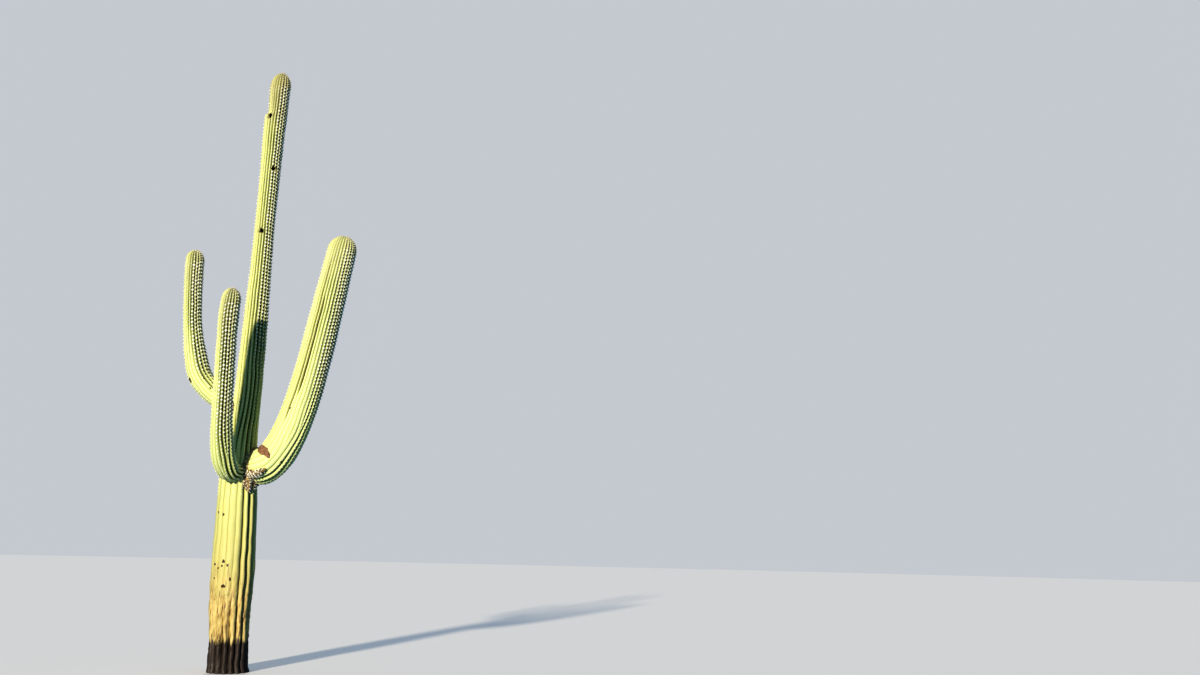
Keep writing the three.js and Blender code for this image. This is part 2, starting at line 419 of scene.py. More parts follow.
def rings(stem, distance):
    """Where the ring of skin at each distance has its centre, and its axes, radius and narrowing."""
    on_line = interpolate(stem, distance, stem["points"])
    facing = unit(interpolate(stem, distance, stem["directions"]))
    dome_height = stem["dome_height"] * MM
    rounded = np.clip((distance - stem["length"]) / dome_height, 0, 1) * math.pi / 2
    centre = on_line[:, :3] + facing * (dome_height * np.sin(rounded))[:, None]
    if stem.get("level_rings"):
        facing = np.tile([0.0, 0.0, 1.0], (len(distance), 1))
    side = unit(np.array([0.0, 1.0, 0.0]) - facing * facing[:, 1:2])
    under = np.cross(side, facing)
    centre = to_plant(stem, centre) + np.array(stem["joint"]) * MM
    axes = [to_plant(stem, v) for v in (under, side, facing)]
    return centre, axes, on_line[:, 3], rounded


def rib_starts(stem, distance):
    """For each distance: the ribs' widths, where each starts, their sum, and the ring's turn."""
    widths = rib_widths(stem, distance)
    total = widths.sum(axis=1)
    starts = np.cumsum(widths, axis=1) - widths
    turned = (starts / total[:, None] - np.arange(stem["ribs"]) / stem["ribs"]).mean(axis=1)
    return widths, starts, total, turned


for name, stem in STEMS.items():
    print(name, "has", stem["ribs"], "ribs, of which", len(stem["divides_at"]), "divide")

# %% Notes for each place on a stem
PLUMP_POWER = 0.85
LEAN_POWER = 1.5
# Between these distances, in millimetres, a stem's ribs turn lean, and its shady side turns spiny
# and is painted darker, as painted shade.
LEAN_FROM = {
    "trunk": (1800, 3300),
    "right_arm": (700, 1800),
    "front_arm": (500, 1200),
    "left_arm": (500, 1200),
}
SPINY_AND_SHADED_FROM = {
    "trunk": (3500, 5000),
    "right_arm": (900, 1900),
    "front_arm": (500, 1200),
    "left_arm": (500, 1200),
}


def angle_between(angle, degrees):
    """How far each angle is from a direction given in degrees, in radians."""
    return np.abs((angle - math.radians(degrees) + math.pi) % (2 * math.pi) - math.pi)


def shoulder(stem_name, distance, angle):
    """How far a stem's shoulder, if it has one, moves the skin out at each distance and angle."""
    if stem_name not in SHOULDERS:
        return np.zeros(len(distance))
    top, middle, wide, bulge, hollow, below, step, above = SHOULDERS[stem_name]
    up_mm = distance / MM - top
    raised = bulge * smoothstep(up_mm, -below, 0)
    sunk = -hollow * (1 - smoothstep(up_mm, step, above))
    stepped = smoothstep(up_mm, 0, step)
    across = 1 - smoothstep(angle_between(angle, middle), 0, math.radians(wide))
    return MM * (raised * (1 - stepped) + sunk * stepped) * across


def wear(stem_name, distance, rib, share):
    """From 0 to 1: how much a groove here is one of the stem's worn grooves."""
    worn = np.zeros(len(distance))
    ribs = STEMS[stem_name]["ribs"]
    for groove, low, high in WORN_GROOVES.get(stem_name, []):
        near = np.where(rib == groove, 1 - share, np.where(rib == (groove - 1) % ribs, share, 0))
        starting = smoothstep(distance, low * MM, (low + WORN_FADE) * MM)
        ending = 1 - smoothstep(distance, (high - WORN_FADE) * MM, high * MM)
        worn = np.maximum(worn, np.clip(2 * near - 1, 0, 1) * starting * ending)
    return worn


def facing_sun(stem_name, angle, edge):
    """From 0 to 1: how much each angle is on the stem's sunny side, which fades over this edge."""
    middle, wide = SWOLLEN_AND_LIT_FACES[stem_name][:2]
    full, end = edge
    off = angle_between(angle, middle)
    return 1 - smoothstep(off, math.radians(wide * full), math.radians(wide * end))


def swelling_and_light(stem_name, distance, angle):
    """From 0 to 1, at each distance and angle: how swollen with water the skin is, and how lit it is
    painted.
    """
    start, full, fading, end, kept = SWOLLEN_AND_LIT_FACES[stem_name][2:]
    near = smoothstep(distance, start * MM, full * MM)
    near = near * (1 - (1 - kept) * smoothstep(distance, fading * MM, end * MM))
    return near * facing_sun(stem_name, angle, SWOLLEN_AND_LIT_EDGE)


def groove_power(name, distance):
    """How sharp a rib's crest is: broad and plump near a stem's foot, and leaner further up."""
    low, high = LEAN_FROM[name]
    return PLUMP_POWER + (LEAN_POWER - PLUMP_POWER) * smoothstep(distance, low * MM, high * MM)


def bareness(name, distance, angle):
    """From 0 to 1: how worn the spines are, by sun on one side and by age near the foot; low is
    painted shade.
    """
    low, high = SPINY_AND_SHADED_FROM[name]
    spiny_and_shaded = smoothstep(distance, low * MM, high * MM)
    return 1 - spiny_and_shaded * (1 - facing_sun(name, angle, BARE_AND_LIT_EDGE))


# %% Points on a sleeve
SKIN_RIB_DEPTH = 1.0
YOUNG_LENGTH = 900


def sleeve(name, distance, rib, share, height=0.0):
    """The points of a stem's sleeve at these distances, ribs and shares, with their notes."""
    stem = STEMS[name]
    distance = np.asarray(distance, float)
    share = np.broadcast_to(share, distance.shape)
    centre, (under, side, facing), radius, rounded = rings(stem, distance)
    widths, starts, total, turned = rib_starts(stem, distance)
    each = np.arange(len(distance))
    width, start = widths[each, rib], starts[each, rib]
    angle = 2 * math.pi * ((start + share * width) / total - turned) + math.radians(stem["turn"])
    cos, sin = np.cos(angle)[:, None], np.sin(angle)[:, None]
    radial = under * cos + side * sin
    narrowed = np.cos(rounded)
    worn = wear(name, distance, rib, share)
    foot = smoothstep(distance, 0, stem["foot_length"] * MM)
    fade = stem["foot_depth"] + (1 - stem["foot_depth"]) * foot
    depth = SKIN_RIB_DEPTH * fade * 2 * math.pi * radius / total * narrowed
    # How swollen the skin is; its colour is also painted lighter here, as lit by the key light.
    swollen_and_lit = swelling_and_light(name, distance, angle) * (1 - worn)
    depth = depth * (1 + WORN_DEEPER * worn) * (1 - SWOLLEN_FLATTER * swollen_and_lit)
    radius = radius + shoulder(name, distance, angle)
    dome_height = stem["dome_height"] * MM
    along = facing * (np.sin(rounded) / dome_height)[:, None]
    return {
        "position": centre + radial * (radius * narrowed)[:, None],
        "inward": -radial,
        "sideways": side * cos - under * sin,
        "outward": unit(radial * (narrowed / radius)[:, None] + along),
        "depth": depth,
        "power": groove_power(name, distance),
        "share": share,
        "divided": width - 1,
        "height": np.broadcast_to(height, distance.shape),
        "worn": worn,
        # These two notes also paint light and shade into the skin's colour.
        "swollen_and_lit": swollen_and_lit,
        "bare": bareness(name, distance, angle),
        "young": smoothstep(distance, stem["length"] - YOUNG_LENGTH * MM, stem["length"]),
    }


def sleeve_at(name, distance, angle, height=0.0):
    """As sleeve, with the place round the stem given as an angle in radians."""
    stem = STEMS[name]
    widths, starts, total, turned = rib_starts(stem, distance)
    turns = (np.asarray(angle) - math.radians(stem["turn"])) / (2 * math.pi) + turned
    place = (turns * total) % total
    rib = (starts <= place[:, None]).sum(axis=1) - 1
    each = np.arange(len(distance))
    share = (place - starts[each, rib]) / widths[each, rib]
    return sleeve(name, distance, rib, share, height)


def joined(*fields):
    return {key: np.concatenate([f[key] for f in fields]) for key in fields[0]}


# %% [markdown]
# ## From points to meshes
#
# The notes become mesh attributes, which Geometry Nodes and materials read by name. One function
# writes them all, whether the mesh has faces or only edges.

# %% Mesh with notes
def noted_object(name, fields, edges=(), faces=()):
    """A mesh object at the origin, with each field but the position as a point attribute."""
    mesh = bpy.data.meshes.new(name)
    mesh.from_pydata(fields["position"].tolist(), edges, faces)
    for key, values in fields.items():
        if key == "position":
            continue
        kind = "FLOAT_VECTOR" if values.ndim == 2 else "FLOAT"
        attribute = mesh.attributes.new(key, kind, "POINT")
        field = "vector" if values.ndim == 2 else "value"
        attribute.data.foreach_set(field, np.ascontiguousarray(values, np.float32).ravel())
    return placed(name, mesh)


# %% [markdown]
# ## Sleeves of all four stems
#
# A sleeve's columns crowd towards the grooves, where the skin turns sharply, and spread out over
# the broad crests. A rib that will divide has twice the columns from the start, so that the mesh
# keeps one layout from foot to tip. The corky foot of the trunk has closer rows than the rest.

# %% Build the sleeves
COLUMNS_PER_RIB = 10
DOME_ROWS = 18
ROW_STEP = {"trunk": 25, "right_arm": 16, "front_arm": 16, "left_arm": 16}
FOOT_ROW_STEP = 12
CORK_HEIGHT = 1150


def columns_of(stem):
    """The rib and the share of every column of a sleeve."""
    crowded = 0.5 - 0.5 * np.cos(math.pi * np.arange(COLUMNS_PER_RIB) / COLUMNS_PER_RIB)
    dividing = {(k * DIVIDING_STRIDE) % stem["ribs"] for k in range(len(stem["divides_at"]))}
    ribs, shares = [], []
    for rib in range(stem["ribs"]):
        share = np.concatenate([crowded / 2, 0.5 + crowded / 2]) if rib in dividing else crowded
        ribs += [rib] * len(share)
        shares += list(share)
    return np.array(ribs), np.array(shares)


def rows_of(name):
    stem = STEMS[name]
    close = CORK_HEIGHT * MM if name == "trunk" else 0.0
    foot = np.arange(0, close, FOOT_ROW_STEP * MM)
    rows = round((stem["length"] - close) / (ROW_STEP[name] * MM))
    upper = np.linspace(close, stem["length"], rows + 1)
    dome = stem["length"] + stem["dome_height"] * MM * np.arange(1, DOME_ROWS) / DOME_ROWS
    return np.concatenate([foot, upper, dome])


def build_sleeve(name):
    stem = STEMS[name]
    ribs, shares = columns_of(stem)
    rows = rows_of(name)
    across = len(ribs)
    distance = np.repeat(rows, across)
    points = sleeve(name, distance, np.tile(ribs, len(rows)), np.tile(shares, len(rows)))
    tip = sleeve(name, [stem["length"] + stem["dome_height"] * MM], np.array([0]), 0.0)
    foot = sleeve(name, [0.0], np.array([0]), 0.0)
    foot["position"] = rings(stem, np.array([0.0]))[0]
    foot["depth"] = np.zeros(1)
    fields = joined(points, foot, tip)
    foot_point = len(rows) * across
    faces = []
    for row in range(len(rows) - 1):
        a = row * across
        for i in range(across):
            j = (i + 1) % across
            faces.append((a + i, a + j, a + across + j, a + across + i))
    top = (len(rows) - 1) * across
    for i in range(across):
        j = (i + 1) % across
        faces.append((j, i, foot_point))
        faces.append((top + i, top + j, foot_point + 1))
    print(name, "sleeve:", len(rows), "rows of", across, "columns")
    return noted_object(name + "_sleeve", fields, faces=faces)


sleeves = {name: build_sleeve(name) for name in STEMS}

# %% [markdown]
# ## Skin colours
#
# A saguaro's skin is a waxy hide over green flesh. Sun and age bleach it to a pale yellow green,
# while the grooves are painted nearly black: partly their own deeper olive, and partly painted
# shade in the folds. The youngest skin near a tip is greyer and browner.
# Low on the trunk the hide turns to golden cork, and then to a near-black brown at the foot. The
# hide's real grain is finer than a millimetre and would not show from here, so it is drawn coarser.
#
# The colours read the notes on the skin, so they follow the ribs wherever those go: crest, which
# Geometry Nodes add, is the height within a rib, worn marks the brown grooves, swollen marks the
# side that faces the key light, painted paler as painted light, bare, where it is low, marks the
# side away from it, painted darker as painted shade, and young marks the last stretch to a tip.

# %% Skin material
PATCH_MM = 260
MOTTLE_MM = 45
GRAIN_MM = 9


def skin_material(name, groove, flank, crest, stain, tip, cork=False):
    """Waxy saguaro hide: groove, flank and crest colours, blotches of stain, a fine grain, and painted
    light and shade on its two sides.
    """
    material, tree = new_material(name)
    place = add(tree, "ShaderNodeTexCoord", output="Object")
    notes = ("crest", "worn", "swollen_and_lit", "bare", "young")
    raised, worn, swollen_and_lit, bare, young = [
        add(tree, "ShaderNodeAttribute", output="Fac", attribute_name=key) for key in notes
    ]
    streaks = add(tree, "ShaderNodeMapping", {"Vector": place, "Scale": (1, 1, 0.25)})
    patches, mottle, grain = [
        add(tree, "ShaderNodeTexNoise", {"Vector": spot, "Scale": 1 / (size * MM), "Detail": detail})
        for spot, size, detail in (
            (place, PATCH_MM, 3),
            (streaks, MOTTLE_MM, 5),
            (place, GRAIN_MM, 4),
        )
    ]
    uneven = add(tree, "ShaderNodeMath", {0: mottle, 1: 0.5}, operation="SUBTRACT")
    height = add(tree, "ShaderNodeMath", {0: uneven, 1: 0.3, 2: raised}, operation="MULTIPLY_ADD")
    # Painted light: the side towards the key light is lifted towards the paler crest colours.
    height = add(tree, "ShaderNodeMath", {0: swollen_and_lit, 1: 0.5, 2: height}, operation="MULTIPLY_ADD")
    bands = add(tree, "ShaderNodeValToRGB", {0: height})
    # The grooves' near-black colour is partly their own deeper olive and partly painted shade in the
    # folds.
    skin = ramp(bands, (0.28, groove), (0.7, flank), (0.97, crest))
    # Each tint is laid on from one share to another as its source goes from low to high.
    tints = [
        # Painted shade: where bare is low, on the side away from the key light, the skin is darkened
        # to olive.
        (bare, 0.0, 1.0, 0.54, 0.0, "#4a5628"),
        (patches, 0.52, 0.74, 0.0, 0.35, stain),
        # Painted light: the side towards the key light is lightened.
        (swollen_and_lit, 0.0, 1.0, 0.0, 0.15, "#dce49a"),
        (young, 0.0, 1.0, 0.0, 0.5, tip),
        (worn, 0.0, 1.0, 0.0, 0.6, "#8a7038"),
    ]
    for source, low, high, least, most, colour in tints:
        amount = add(tree, "ShaderNodeMapRange", {0: source, 1: low, 2: high, 3: least, 4: most})
        laid = {0: amount, 6: skin, 7: linear(colour)}
        skin = add(tree, "ShaderNodeMix", laid, output=2, data_type="RGBA")
    if cork:
        skin = corky(tree, place, streaks, skin)
    gloss = add(tree, "ShaderNodeMapRange", {0: mottle, 1: 0.3, 2: 0.7, 3: 0.5, 4: 0.72})
    bump = add(tree, "ShaderNodeBump", {"Strength": 0.35, "Distance": 3 * MM, "Height": grain})
    wax = {"Base Color": skin, "Roughness": gloss, "IOR": 1.45, "Normal": bump}
    wax |= {"Coat Weight": 0.05, "Coat Roughness": 0.45}
    hide = add(tree, "ShaderNodeBsdfPrincipled", wax)
    add(tree, "ShaderNodeOutputMaterial", {0: hide})
    return material


# %% Cork and bark on the lower trunk
CORK_STREAK_MM = 80
CORK_FLECK_MM = 26
# Cork, the near-black foot and weathering are absent above the first height, and full below the
# second, in metres.
CORK_HEIGHTS = (1.9, 1.5)
DARK_FOOT_HEIGHTS = (0.6, 0.53)
WEATHERED_HEIGHTS = (3.0, 1.3)


def corky(tree, place, streaks, skin):
    """The hide's colour, given way to golden cork low on the trunk and to near black at its foot."""
    height = add(tree, "ShaderNodeSeparateXYZ", {0: place}, output="Z")
    streaked = {"Vector": streaks, "Scale": 1 / (CORK_STREAK_MM * MM), "Detail": 4}
    broad = add(tree, "ShaderNodeTexNoise", streaked)
    narrow_place = add(tree, "ShaderNodeMapping", {"Vector": place, "Scale": (1, 1, 0.14)})
    flecked = {"Vector": narrow_place, "Scale": 1 / (CORK_FLECK_MM * MM), "Detail": 4}
    narrow = add(tree, "ShaderNodeTexNoise", flecked)
    ragged = add(tree, "ShaderNodeMath", {0: broad, 1: 1.1, 2: height}, operation="MULTIPLY_ADD")
    corked = {0: ragged, 1: CORK_HEIGHTS[0], 2: CORK_HEIGHTS[1], 3: 0.0, 4: 0.92}
    is_cork = add(tree, "ShaderNodeMapRange", corked)
    cork = ramp(
        add(tree, "ShaderNodeValToRGB", {0: narrow}),
        (0.3, "#4c3826"),
        (0.4, "#94774e"),
        (0.5, "#c0a86a"),
        (0.64, "#ccb87e"),
        (0.78, "#ac8660"),
    )
    edge = add(tree, "ShaderNodeMath", {0: narrow, 1: 0.3, 2: height}, operation="MULTIPLY_ADD")
    darkened_foot = {0: edge, 1: DARK_FOOT_HEIGHTS[0], 2: DARK_FOOT_HEIGHTS[1], 3: 0.0, 4: 1.0}
    is_dark_foot = add(tree, "ShaderNodeMapRange", darkened_foot)
    dried = {0: height, 1: WEATHERED_HEIGHTS[0], 2: WEATHERED_HEIGHTS[1], 3: 0.0, 4: 0.6}
    weathered = add(tree, "ShaderNodeMapRange", dried)
    layers = [(weathered, linear("#ae9c60")), (is_cork, cork), (is_dark_foot, linear("#2c211c"))]
    for amount, colour in layers:
        laid = {0: amount, 6: skin, 7: colour}
        skin = add(tree, "ShaderNodeMix", laid, output=2, data_type="RGBA")
    return skin


# The first colour, for the grooves, is near black: partly the grooves' own olive, partly painted
# shade.
trunk_skin = skin_material(
    "weathered trunk hide", "#1e2714", "#b0b468", "#d2d48e", "#c8c27a", "#94876a", cork=True
)
arm_skin = skin_material("waxy arm hide", "#1c2616", "#b2ba6e", "#d7dc96", "#ccce86", "#c0bc8e")

# %% [markdown]
# ## Felt, spines and scar tissue
#
# An areole is a pad of short pale felt. Spines are horn: straw white when grown, grey when old, and
# honey coloured near the tips, where they are young. A wound heals under brown scar tissue, and the
# inside of a bird's hole dries to a dark hard lining, which is painted near black, partly as
# painted shade.
#
# All are dull and rough. Each spine and pad has its own tint, a random number that Geometry Nodes
# give it, so that a thousand of them don't look painted in one go.

# %% Small materials
def tinted_material(name, dark, light, roughness):
    """A dull material between two colours, by each small part's own tint."""
    material, tree = new_material(name)
    tint = add(tree, "ShaderNodeAttribute", output="Fac", attribute_name="tint")
    mixed = {0: tint, 6: linear(dark), 7: linear(light)}
    colour = add(tree, "ShaderNodeMix", mixed, output=2, data_type="RGBA")
    dull = add(tree, "ShaderNodeBsdfPrincipled", {"Base Color": colour, "Roughness": roughness})
    add(tree, "ShaderNodeOutputMaterial", {0: dull})
    return material


def rough_material(name, dark, light, size_mm, lump_mm):
    """Corky tissue between two colours, mottled and lumpy at the scales given."""
    material, tree = new_material(name)
    place = add(tree, "ShaderNodeTexCoord", output="Object")
    blotches = {"Vector": place, "Scale": 1 / (size_mm * MM), "Detail": 5}
    mottle = add(tree, "ShaderNodeTexNoise", blotches)
    spread = add(tree, "ShaderNodeMapRange", {0: mottle, 1: 0.3, 2: 0.7, 3: 0.0, 4: 1.0})
    mixed = {0: spread, 6: linear(dark), 7: linear(light)}
    colour = add(tree, "ShaderNodeMix", mixed, output=2, data_type="RGBA")
    bump = add(tree, "ShaderNodeBump", {"Strength": 0.7, "Distance": lump_mm * MM, "Height": mottle})
    tissue = {"Base Color": colour, "Roughness": 0.85, "Normal": bump}
    dull = add(tree, "ShaderNodeBsdfPrincipled", tissue)
    add(tree, "ShaderNodeOutputMaterial", {0: dull})
    return material


felt = tinted_material("pale areole felt", "#dcd6c0", "#fdfaf0", 0.95)
straw_spine = tinted_material("straw-white spine", "#f2eede", "#ffffff", 0.6)
old_spine = tinted_material("weathered grey spine", "#9c927a", "#d2cbb2", 0.75)
young_spine = tinted_material("honey young spine", "#d2bd92", "#f8f0da", 0.6)
scar_tissue = rough_material("dark scar tissue", "#241a14", "#523b28", 14, 4)
callus_tissue = rough_material("corky callus", "#56362a", "#a07c5c", 26, 6)
burr_tissue = rough_material("dark burr tissue", "#33231a", "#a88c58", 26, 9)
collar_tissue = rough_material("tan collar tissue", "#5a3b2c", "#d8c48e", 26, 9)
rim_tissue = rough_material("dry rim tissue", "#8c8654", "#cac48a", 24, 4)
# Near black: partly the hole's own dark lining, partly painted shade inside the pockets and crack.
lining_and_hole_shade = rough_material("dry hole lining in painted shade", "#120d09", "#2a1d12", 20, 4)

# %% [markdown]
# ## Raising the ribs
#
# A rib's height follows one formula, a sine with its foot sharpened: broad and round on top, and
# narrow in the groove. Where a rib is dividing, the same formula at double pace is blended in, so
# that a new groove opens down its middle. The skin sinks inward by what is missing to full height.
#
# This is a node group, because the skin, the areoles, the spines and the scars all have to find
# the same surface. The group also lets the ribs wander a little, as those of a living plant do.

# %% A new geometry tree
def new_tree(name, sockets):
    """A geometry tree with a geometry in and out, and named inputs as (name, kind, value)."""
    tree = bpy.data.node_groups.new(name, "GeometryNodeTree")
    tree.interface.new_socket("Geometry", in_out="INPUT", socket_type="NodeSocketGeometry")
    tree.interface.new_socket("Geometry", in_out="OUTPUT", socket_type="NodeSocketGeometry")
    for label, kind, value in sockets:
        socket = tree.interface.new_socket(label, in_out="INPUT", socket_type="NodeSocket" + kind)
        if value is not None:
            socket.default_value = value
    return tree, tree.nodes.new("NodeGroupInput").outputs


def finish_tree(tree, given, geometry):
    """Ends a tree: real copies in place of instances, and the material."""
    plain = add(tree, "GeometryNodeRealizeInstances", {"Geometry": geometry})
    finished = add(tree, "GeometryNodeSetMaterial", {"Geometry": plain, "Material": given["Material"]})
    add(tree, "NodeGroupOutput", {0: finished})


# %% Node group: raise the ribs
RIB_INPUTS = [
    ("Wander", "Float", 4 * MM),
    ("Wander length", "Float", 300 * MM),
    ("Cork split", "Float", 9 * MM),
]
# How often fissures come across and up the stem in a metre, and the noise's reach that is open.
SPLIT_PACE = (26, 26, 4)
SPLIT_WIDE = 0.06
# Fissures open, and ribs wander more, from the first height down to the second, in metres.
SPLIT_HEIGHTS = (1.35, 0.95)
OLD_HEIGHTS = (3.0, 1.2)
OLD_WANDER = 2.4
# The least and the most of its depth that a groove keeps.
UNEVEN_DEPTH = (0.8, 1.15)


def rib_height(tree):
    """How high in its rib a point is, from 0 in the groove to 1 on the crest."""
    share, power, divided = [
        add(tree, "GeometryNodeInputNamedAttribute", {0: key}) for key in ("share", "power", "divided")
    ]
    heights = []
    for pace in (math.pi, 2 * math.pi):
        turned = add(tree, "ShaderNodeMath", {0: share, 1: pace}, operation="MULTIPLY")
        wave = add(tree, "ShaderNodeMath", {0: turned}, operation="SINE")
        arch = add(tree, "ShaderNodeMath", {0: wave}, operation="ABSOLUTE")
        arch = add(tree, "ShaderNodeMath", {0: arch, 1: power}, operation="POWER")
        heights.append(arch)
    whole, halves = heights
    return add(tree, "ShaderNodeMix", {0: divided, 2: whole, 3: halves})


def cork_split(tree, given, place, height):
    """How deep the corky foot's long fissures are at a place."""
    stretched = add(tree, "ShaderNodeVectorMath", {0: place, 1: SPLIT_PACE}, operation="MULTIPLY")
    rough = add(tree, "ShaderNodeTexNoise", {"Vector": stretched, "Scale": 1.0, "Detail": 2})
    centred = add(tree, "ShaderNodeMath", {0: rough, 1: 0.5}, operation="SUBTRACT")
    ridge = add(tree, "ShaderNodeMath", {0: centred}, operation="ABSOLUTE")
    split = add(tree, "ShaderNodeMapRange", {0: ridge, 1: 0.0, 2: SPLIT_WIDE, 3: 1.0, 4: 0.0})
    opening = {0: height, 1: SPLIT_HEIGHTS[0], 2: SPLIT_HEIGHTS[1], 3: 0.0, 4: 1.0}
    for factor in (add(tree, "ShaderNodeMapRange", opening), given["Cork split"]):
        split = add(tree, "ShaderNodeMath", {0: split, 1: factor}, operation="MULTIPLY")
    return split


def raise_ribs_tree():
    tree, given = new_tree("Raise ribs", RIB_INPUTS)
    crest = rib_height(tree)
    sunk = add(tree, "ShaderNodeMath", {0: 1.0, 1: crest}, operation="SUBTRACT")
    depth = add(tree, "GeometryNodeInputNamedAttribute", {0: "depth"})
    sunk = add(tree, "ShaderNodeMath", {0: sunk, 1: depth}, operation="MULTIPLY")
    place = add(tree, "GeometryNodeInputPosition")
    height = add(tree, "ShaderNodeSeparateXYZ", {0: place}, output="Z")
    fine = add(tree, "ShaderNodeMath", {0: 1.0, 1: given["Wander length"]}, operation="DIVIDE")
    broad = {"Vector": place, "Scale": fine, "Detail": 1}
    drift = add(tree, "ShaderNodeTexNoise", broad, output="Color")
    parts = add(tree, "ShaderNodeSeparateXYZ", {0: drift}).node.outputs
    ageing = {0: height, 1: OLD_HEIGHTS[0], 2: OLD_HEIGHTS[1], 3: 1.0, 4: OLD_WANDER}
    old = add(tree, "ShaderNodeMapRange", ageing)
    reach = add(tree, "ShaderNodeMath", {0: given["Wander"], 1: old}, operation="MULTIPLY")
    moves = []
    for part in (parts[0], parts[1]):
        swing = add(tree, "ShaderNodeMapRange", {0: part, 1: 0.2, 2: 0.8, 3: -1.0, 4: 1.0})
        moves.append(add(tree, "ShaderNodeMath", {0: swing, 1: reach}, operation="MULTIPLY"))
    kept = {0: parts[2], 1: 0.3, 2: 0.7, 3: UNEVEN_DEPTH[0], 4: UNEVEN_DEPTH[1]}
    uneven = add(tree, "ShaderNodeMapRange", kept)
    sunk = add(tree, "ShaderNodeMath", {0: sunk, 1: uneven}, operation="MULTIPLY")
    for more in (moves[0], cork_split(tree, given, place, height)):
        sunk = add(tree, "ShaderNodeMath", {0: sunk, 1: more}, operation="ADD")
    raised = add(tree, "GeometryNodeInputNamedAttribute", {0: "height"})
    sunk = add(tree, "ShaderNodeMath", {0: sunk, 1: raised}, operation="SUBTRACT")
    ways = []
    for key, far in (("inward", sunk), ("sideways", moves[1])):
        way = add(tree, "GeometryNodeInputNamedAttribute", {0: key}, data_type="FLOAT_VECTOR")
        ways.append(add(tree, "ShaderNodeVectorMath", {0: way, "Scale": far}, operation="SCALE"))
    offset = add(tree, "ShaderNodeVectorMath", {0: ways[0], 1: ways[1]}, operation="ADD")
    moved = add(tree, "GeometryNodeSetPosition", {"Geometry": given["Geometry"], "Offset": offset})
    noted = {"Geometry": moved, "Name": "crest", "Value": crest}
    noted = add(tree, "GeometryNodeStoreNamedAttribute", noted, data_type="FLOAT", domain="POINT")
    add(tree, "NodeGroupOutput", {0: noted})
    return tree


raise_ribs = raise_ribs_tree()
print("node group:", raise_ribs.name, "with", len(raise_ribs.nodes), "nodes")

# %% [markdown]
# ## Running a tree
#
# A tree works as a modifier on a base mesh. Its inputs are set by their identifiers before the
# object is first evaluated. The result is then copied to a plain mesh of its own, and the base
# and its modifier go, so that what is left needs no nodes.

# %% Run a tree on a base
PIECES = {}


def plain_copy(name, source):
    """The source object as its modifiers leave it, as a plain mesh."""
    bpy.context.view_layer.update()
    evaluated = source.evaluated_get(bpy.context.evaluated_depsgraph_get())
    mesh = bpy.data.meshes.new_from_object(evaluated)
    mesh.name = name
    return mesh


def grow(name, base, tree, keep_base=False, **inputs):
    """Runs a tree on a base object and keeps its result as the plain mesh object of that name."""
    modifier = base.modifiers.new(tree.name, "NODES")
    modifier.node_group = tree
    for item in tree.interface.items_tree:
        key = item.name.lower().replace(" ", "_")
        if item.in_out == "INPUT" and key in inputs:
            modifier[item.identifier] = inputs[key]
    mesh = plain_copy(name, base)
    base.modifiers.remove(modifier)
    if not keep_base:
        bpy.data.objects.remove(base)
    PIECES[name] = placed(name, mesh)
    print(name, sum(len(p.vertices) - 2 for p in mesh.polygons), "triangles")


def use_ribs(tree, given):
    """Adds the rib group to a tree, fed from the tree's own inputs of the same names."""
    node = tree.nodes.new("GeometryNodeGroup")
    node.node_tree = raise_ribs
    for label in ["Geometry"] + [label for label, _, _ in RIB_INPUTS]:
        tree.links.new(given[label], node.inputs[label])
    return node.outputs[0]


# %% Tree: ribbed skin
def skin_tree():
    tree, given = new_tree("Ribbed skin", RIB_INPUTS + [("Material", "Material", None)])
    smooth = add(tree, "GeometryNodeSetShadeSmooth", {"Geometry": use_ribs(tree, given)})
    finish_tree(tree, given, smooth)
    return tree


ribbed_skin = skin_tree()
grow("trunk_skin", sleeves["trunk"], ribbed_skin, material=trunk_skin)
for name in ARMS:
    grow(name + "_skin", sleeves[name], ribbed_skin, material=arm_skin)

# %% [markdown]
# ## Finding a mark's place
#
# The holes and scars were seen in the picture, so each is first named by its pixel there. The
# camera's own geometry turns that round: every point of the stem's skin that faces the camera is
# projected into the picture, and the one that lands nearest to the pixel is the mark's place. From
# then on the mark is known by its distance along the stem and its angle round it, so it sits on
# the skin from any side.

# %% From a pixel to a place on a stem
FRAME_HEIGHT_PX = 675
LOOK_STEP = 10 * MM
LOOK_TURN = math.radians(1.5)


def seen_skin(name):
    """Distance, angle and pixel of a fine grid of the skin points that face the camera."""
    top = STEMS[name]["length"]
    steps = np.arange(0, top, LOOK_STEP)
    turns = np.arange(0, 2 * math.pi, LOOK_TURN)
    distance = np.repeat(steps, len(turns))
    angle = np.tile(turns, len(steps))
    skin = sleeve_at(name, distance, angle)
    away = skin["position"] - np.array(EYE)
    facing = (away * skin["outward"]).sum(axis=1) < 0
    away = away[facing]
    depth = away @ np.array(forward)
    x = FRAME_WIDTH_PX / 2 + FOCAL_PX * (away @ np.array(right)) / depth
    y = FRAME_HEIGHT_PX / 2 - FOCAL_PX * (away @ np.array(up)) / depth
    return distance[facing], angle[facing], x, y


SEEN = {name: seen_skin(name) for name in STEMS}


def place_of(name, x_px, y_px):
    """The distance along a stem, and the angle round it, of what is seen at a pixel."""
    distance, angle, x, y = SEEN[name]
    nearest = np.argmin((x - x_px) ** 2 + (y - y_px) ** 2)
    return distance[nearest], angle[nearest]


# %% [markdown]
# ## Bird holes
#
# Woodpeckers dig nests high in the trunk. The plant seals the wound with a hard lining, and grows a
# low rim round the mouth. From the outside a nest is a dark round mouth about seven centimetres
# across, with a pocket that widens behind it.
#
# Each pocket is turned like a pot on a lathe and cut out of the skin with a Boolean, so its
# lining comes with the cut. The lining is near black: partly its own dark callus, partly painted
# shade inside the pocket. From the middle hole a crack runs round to the right.

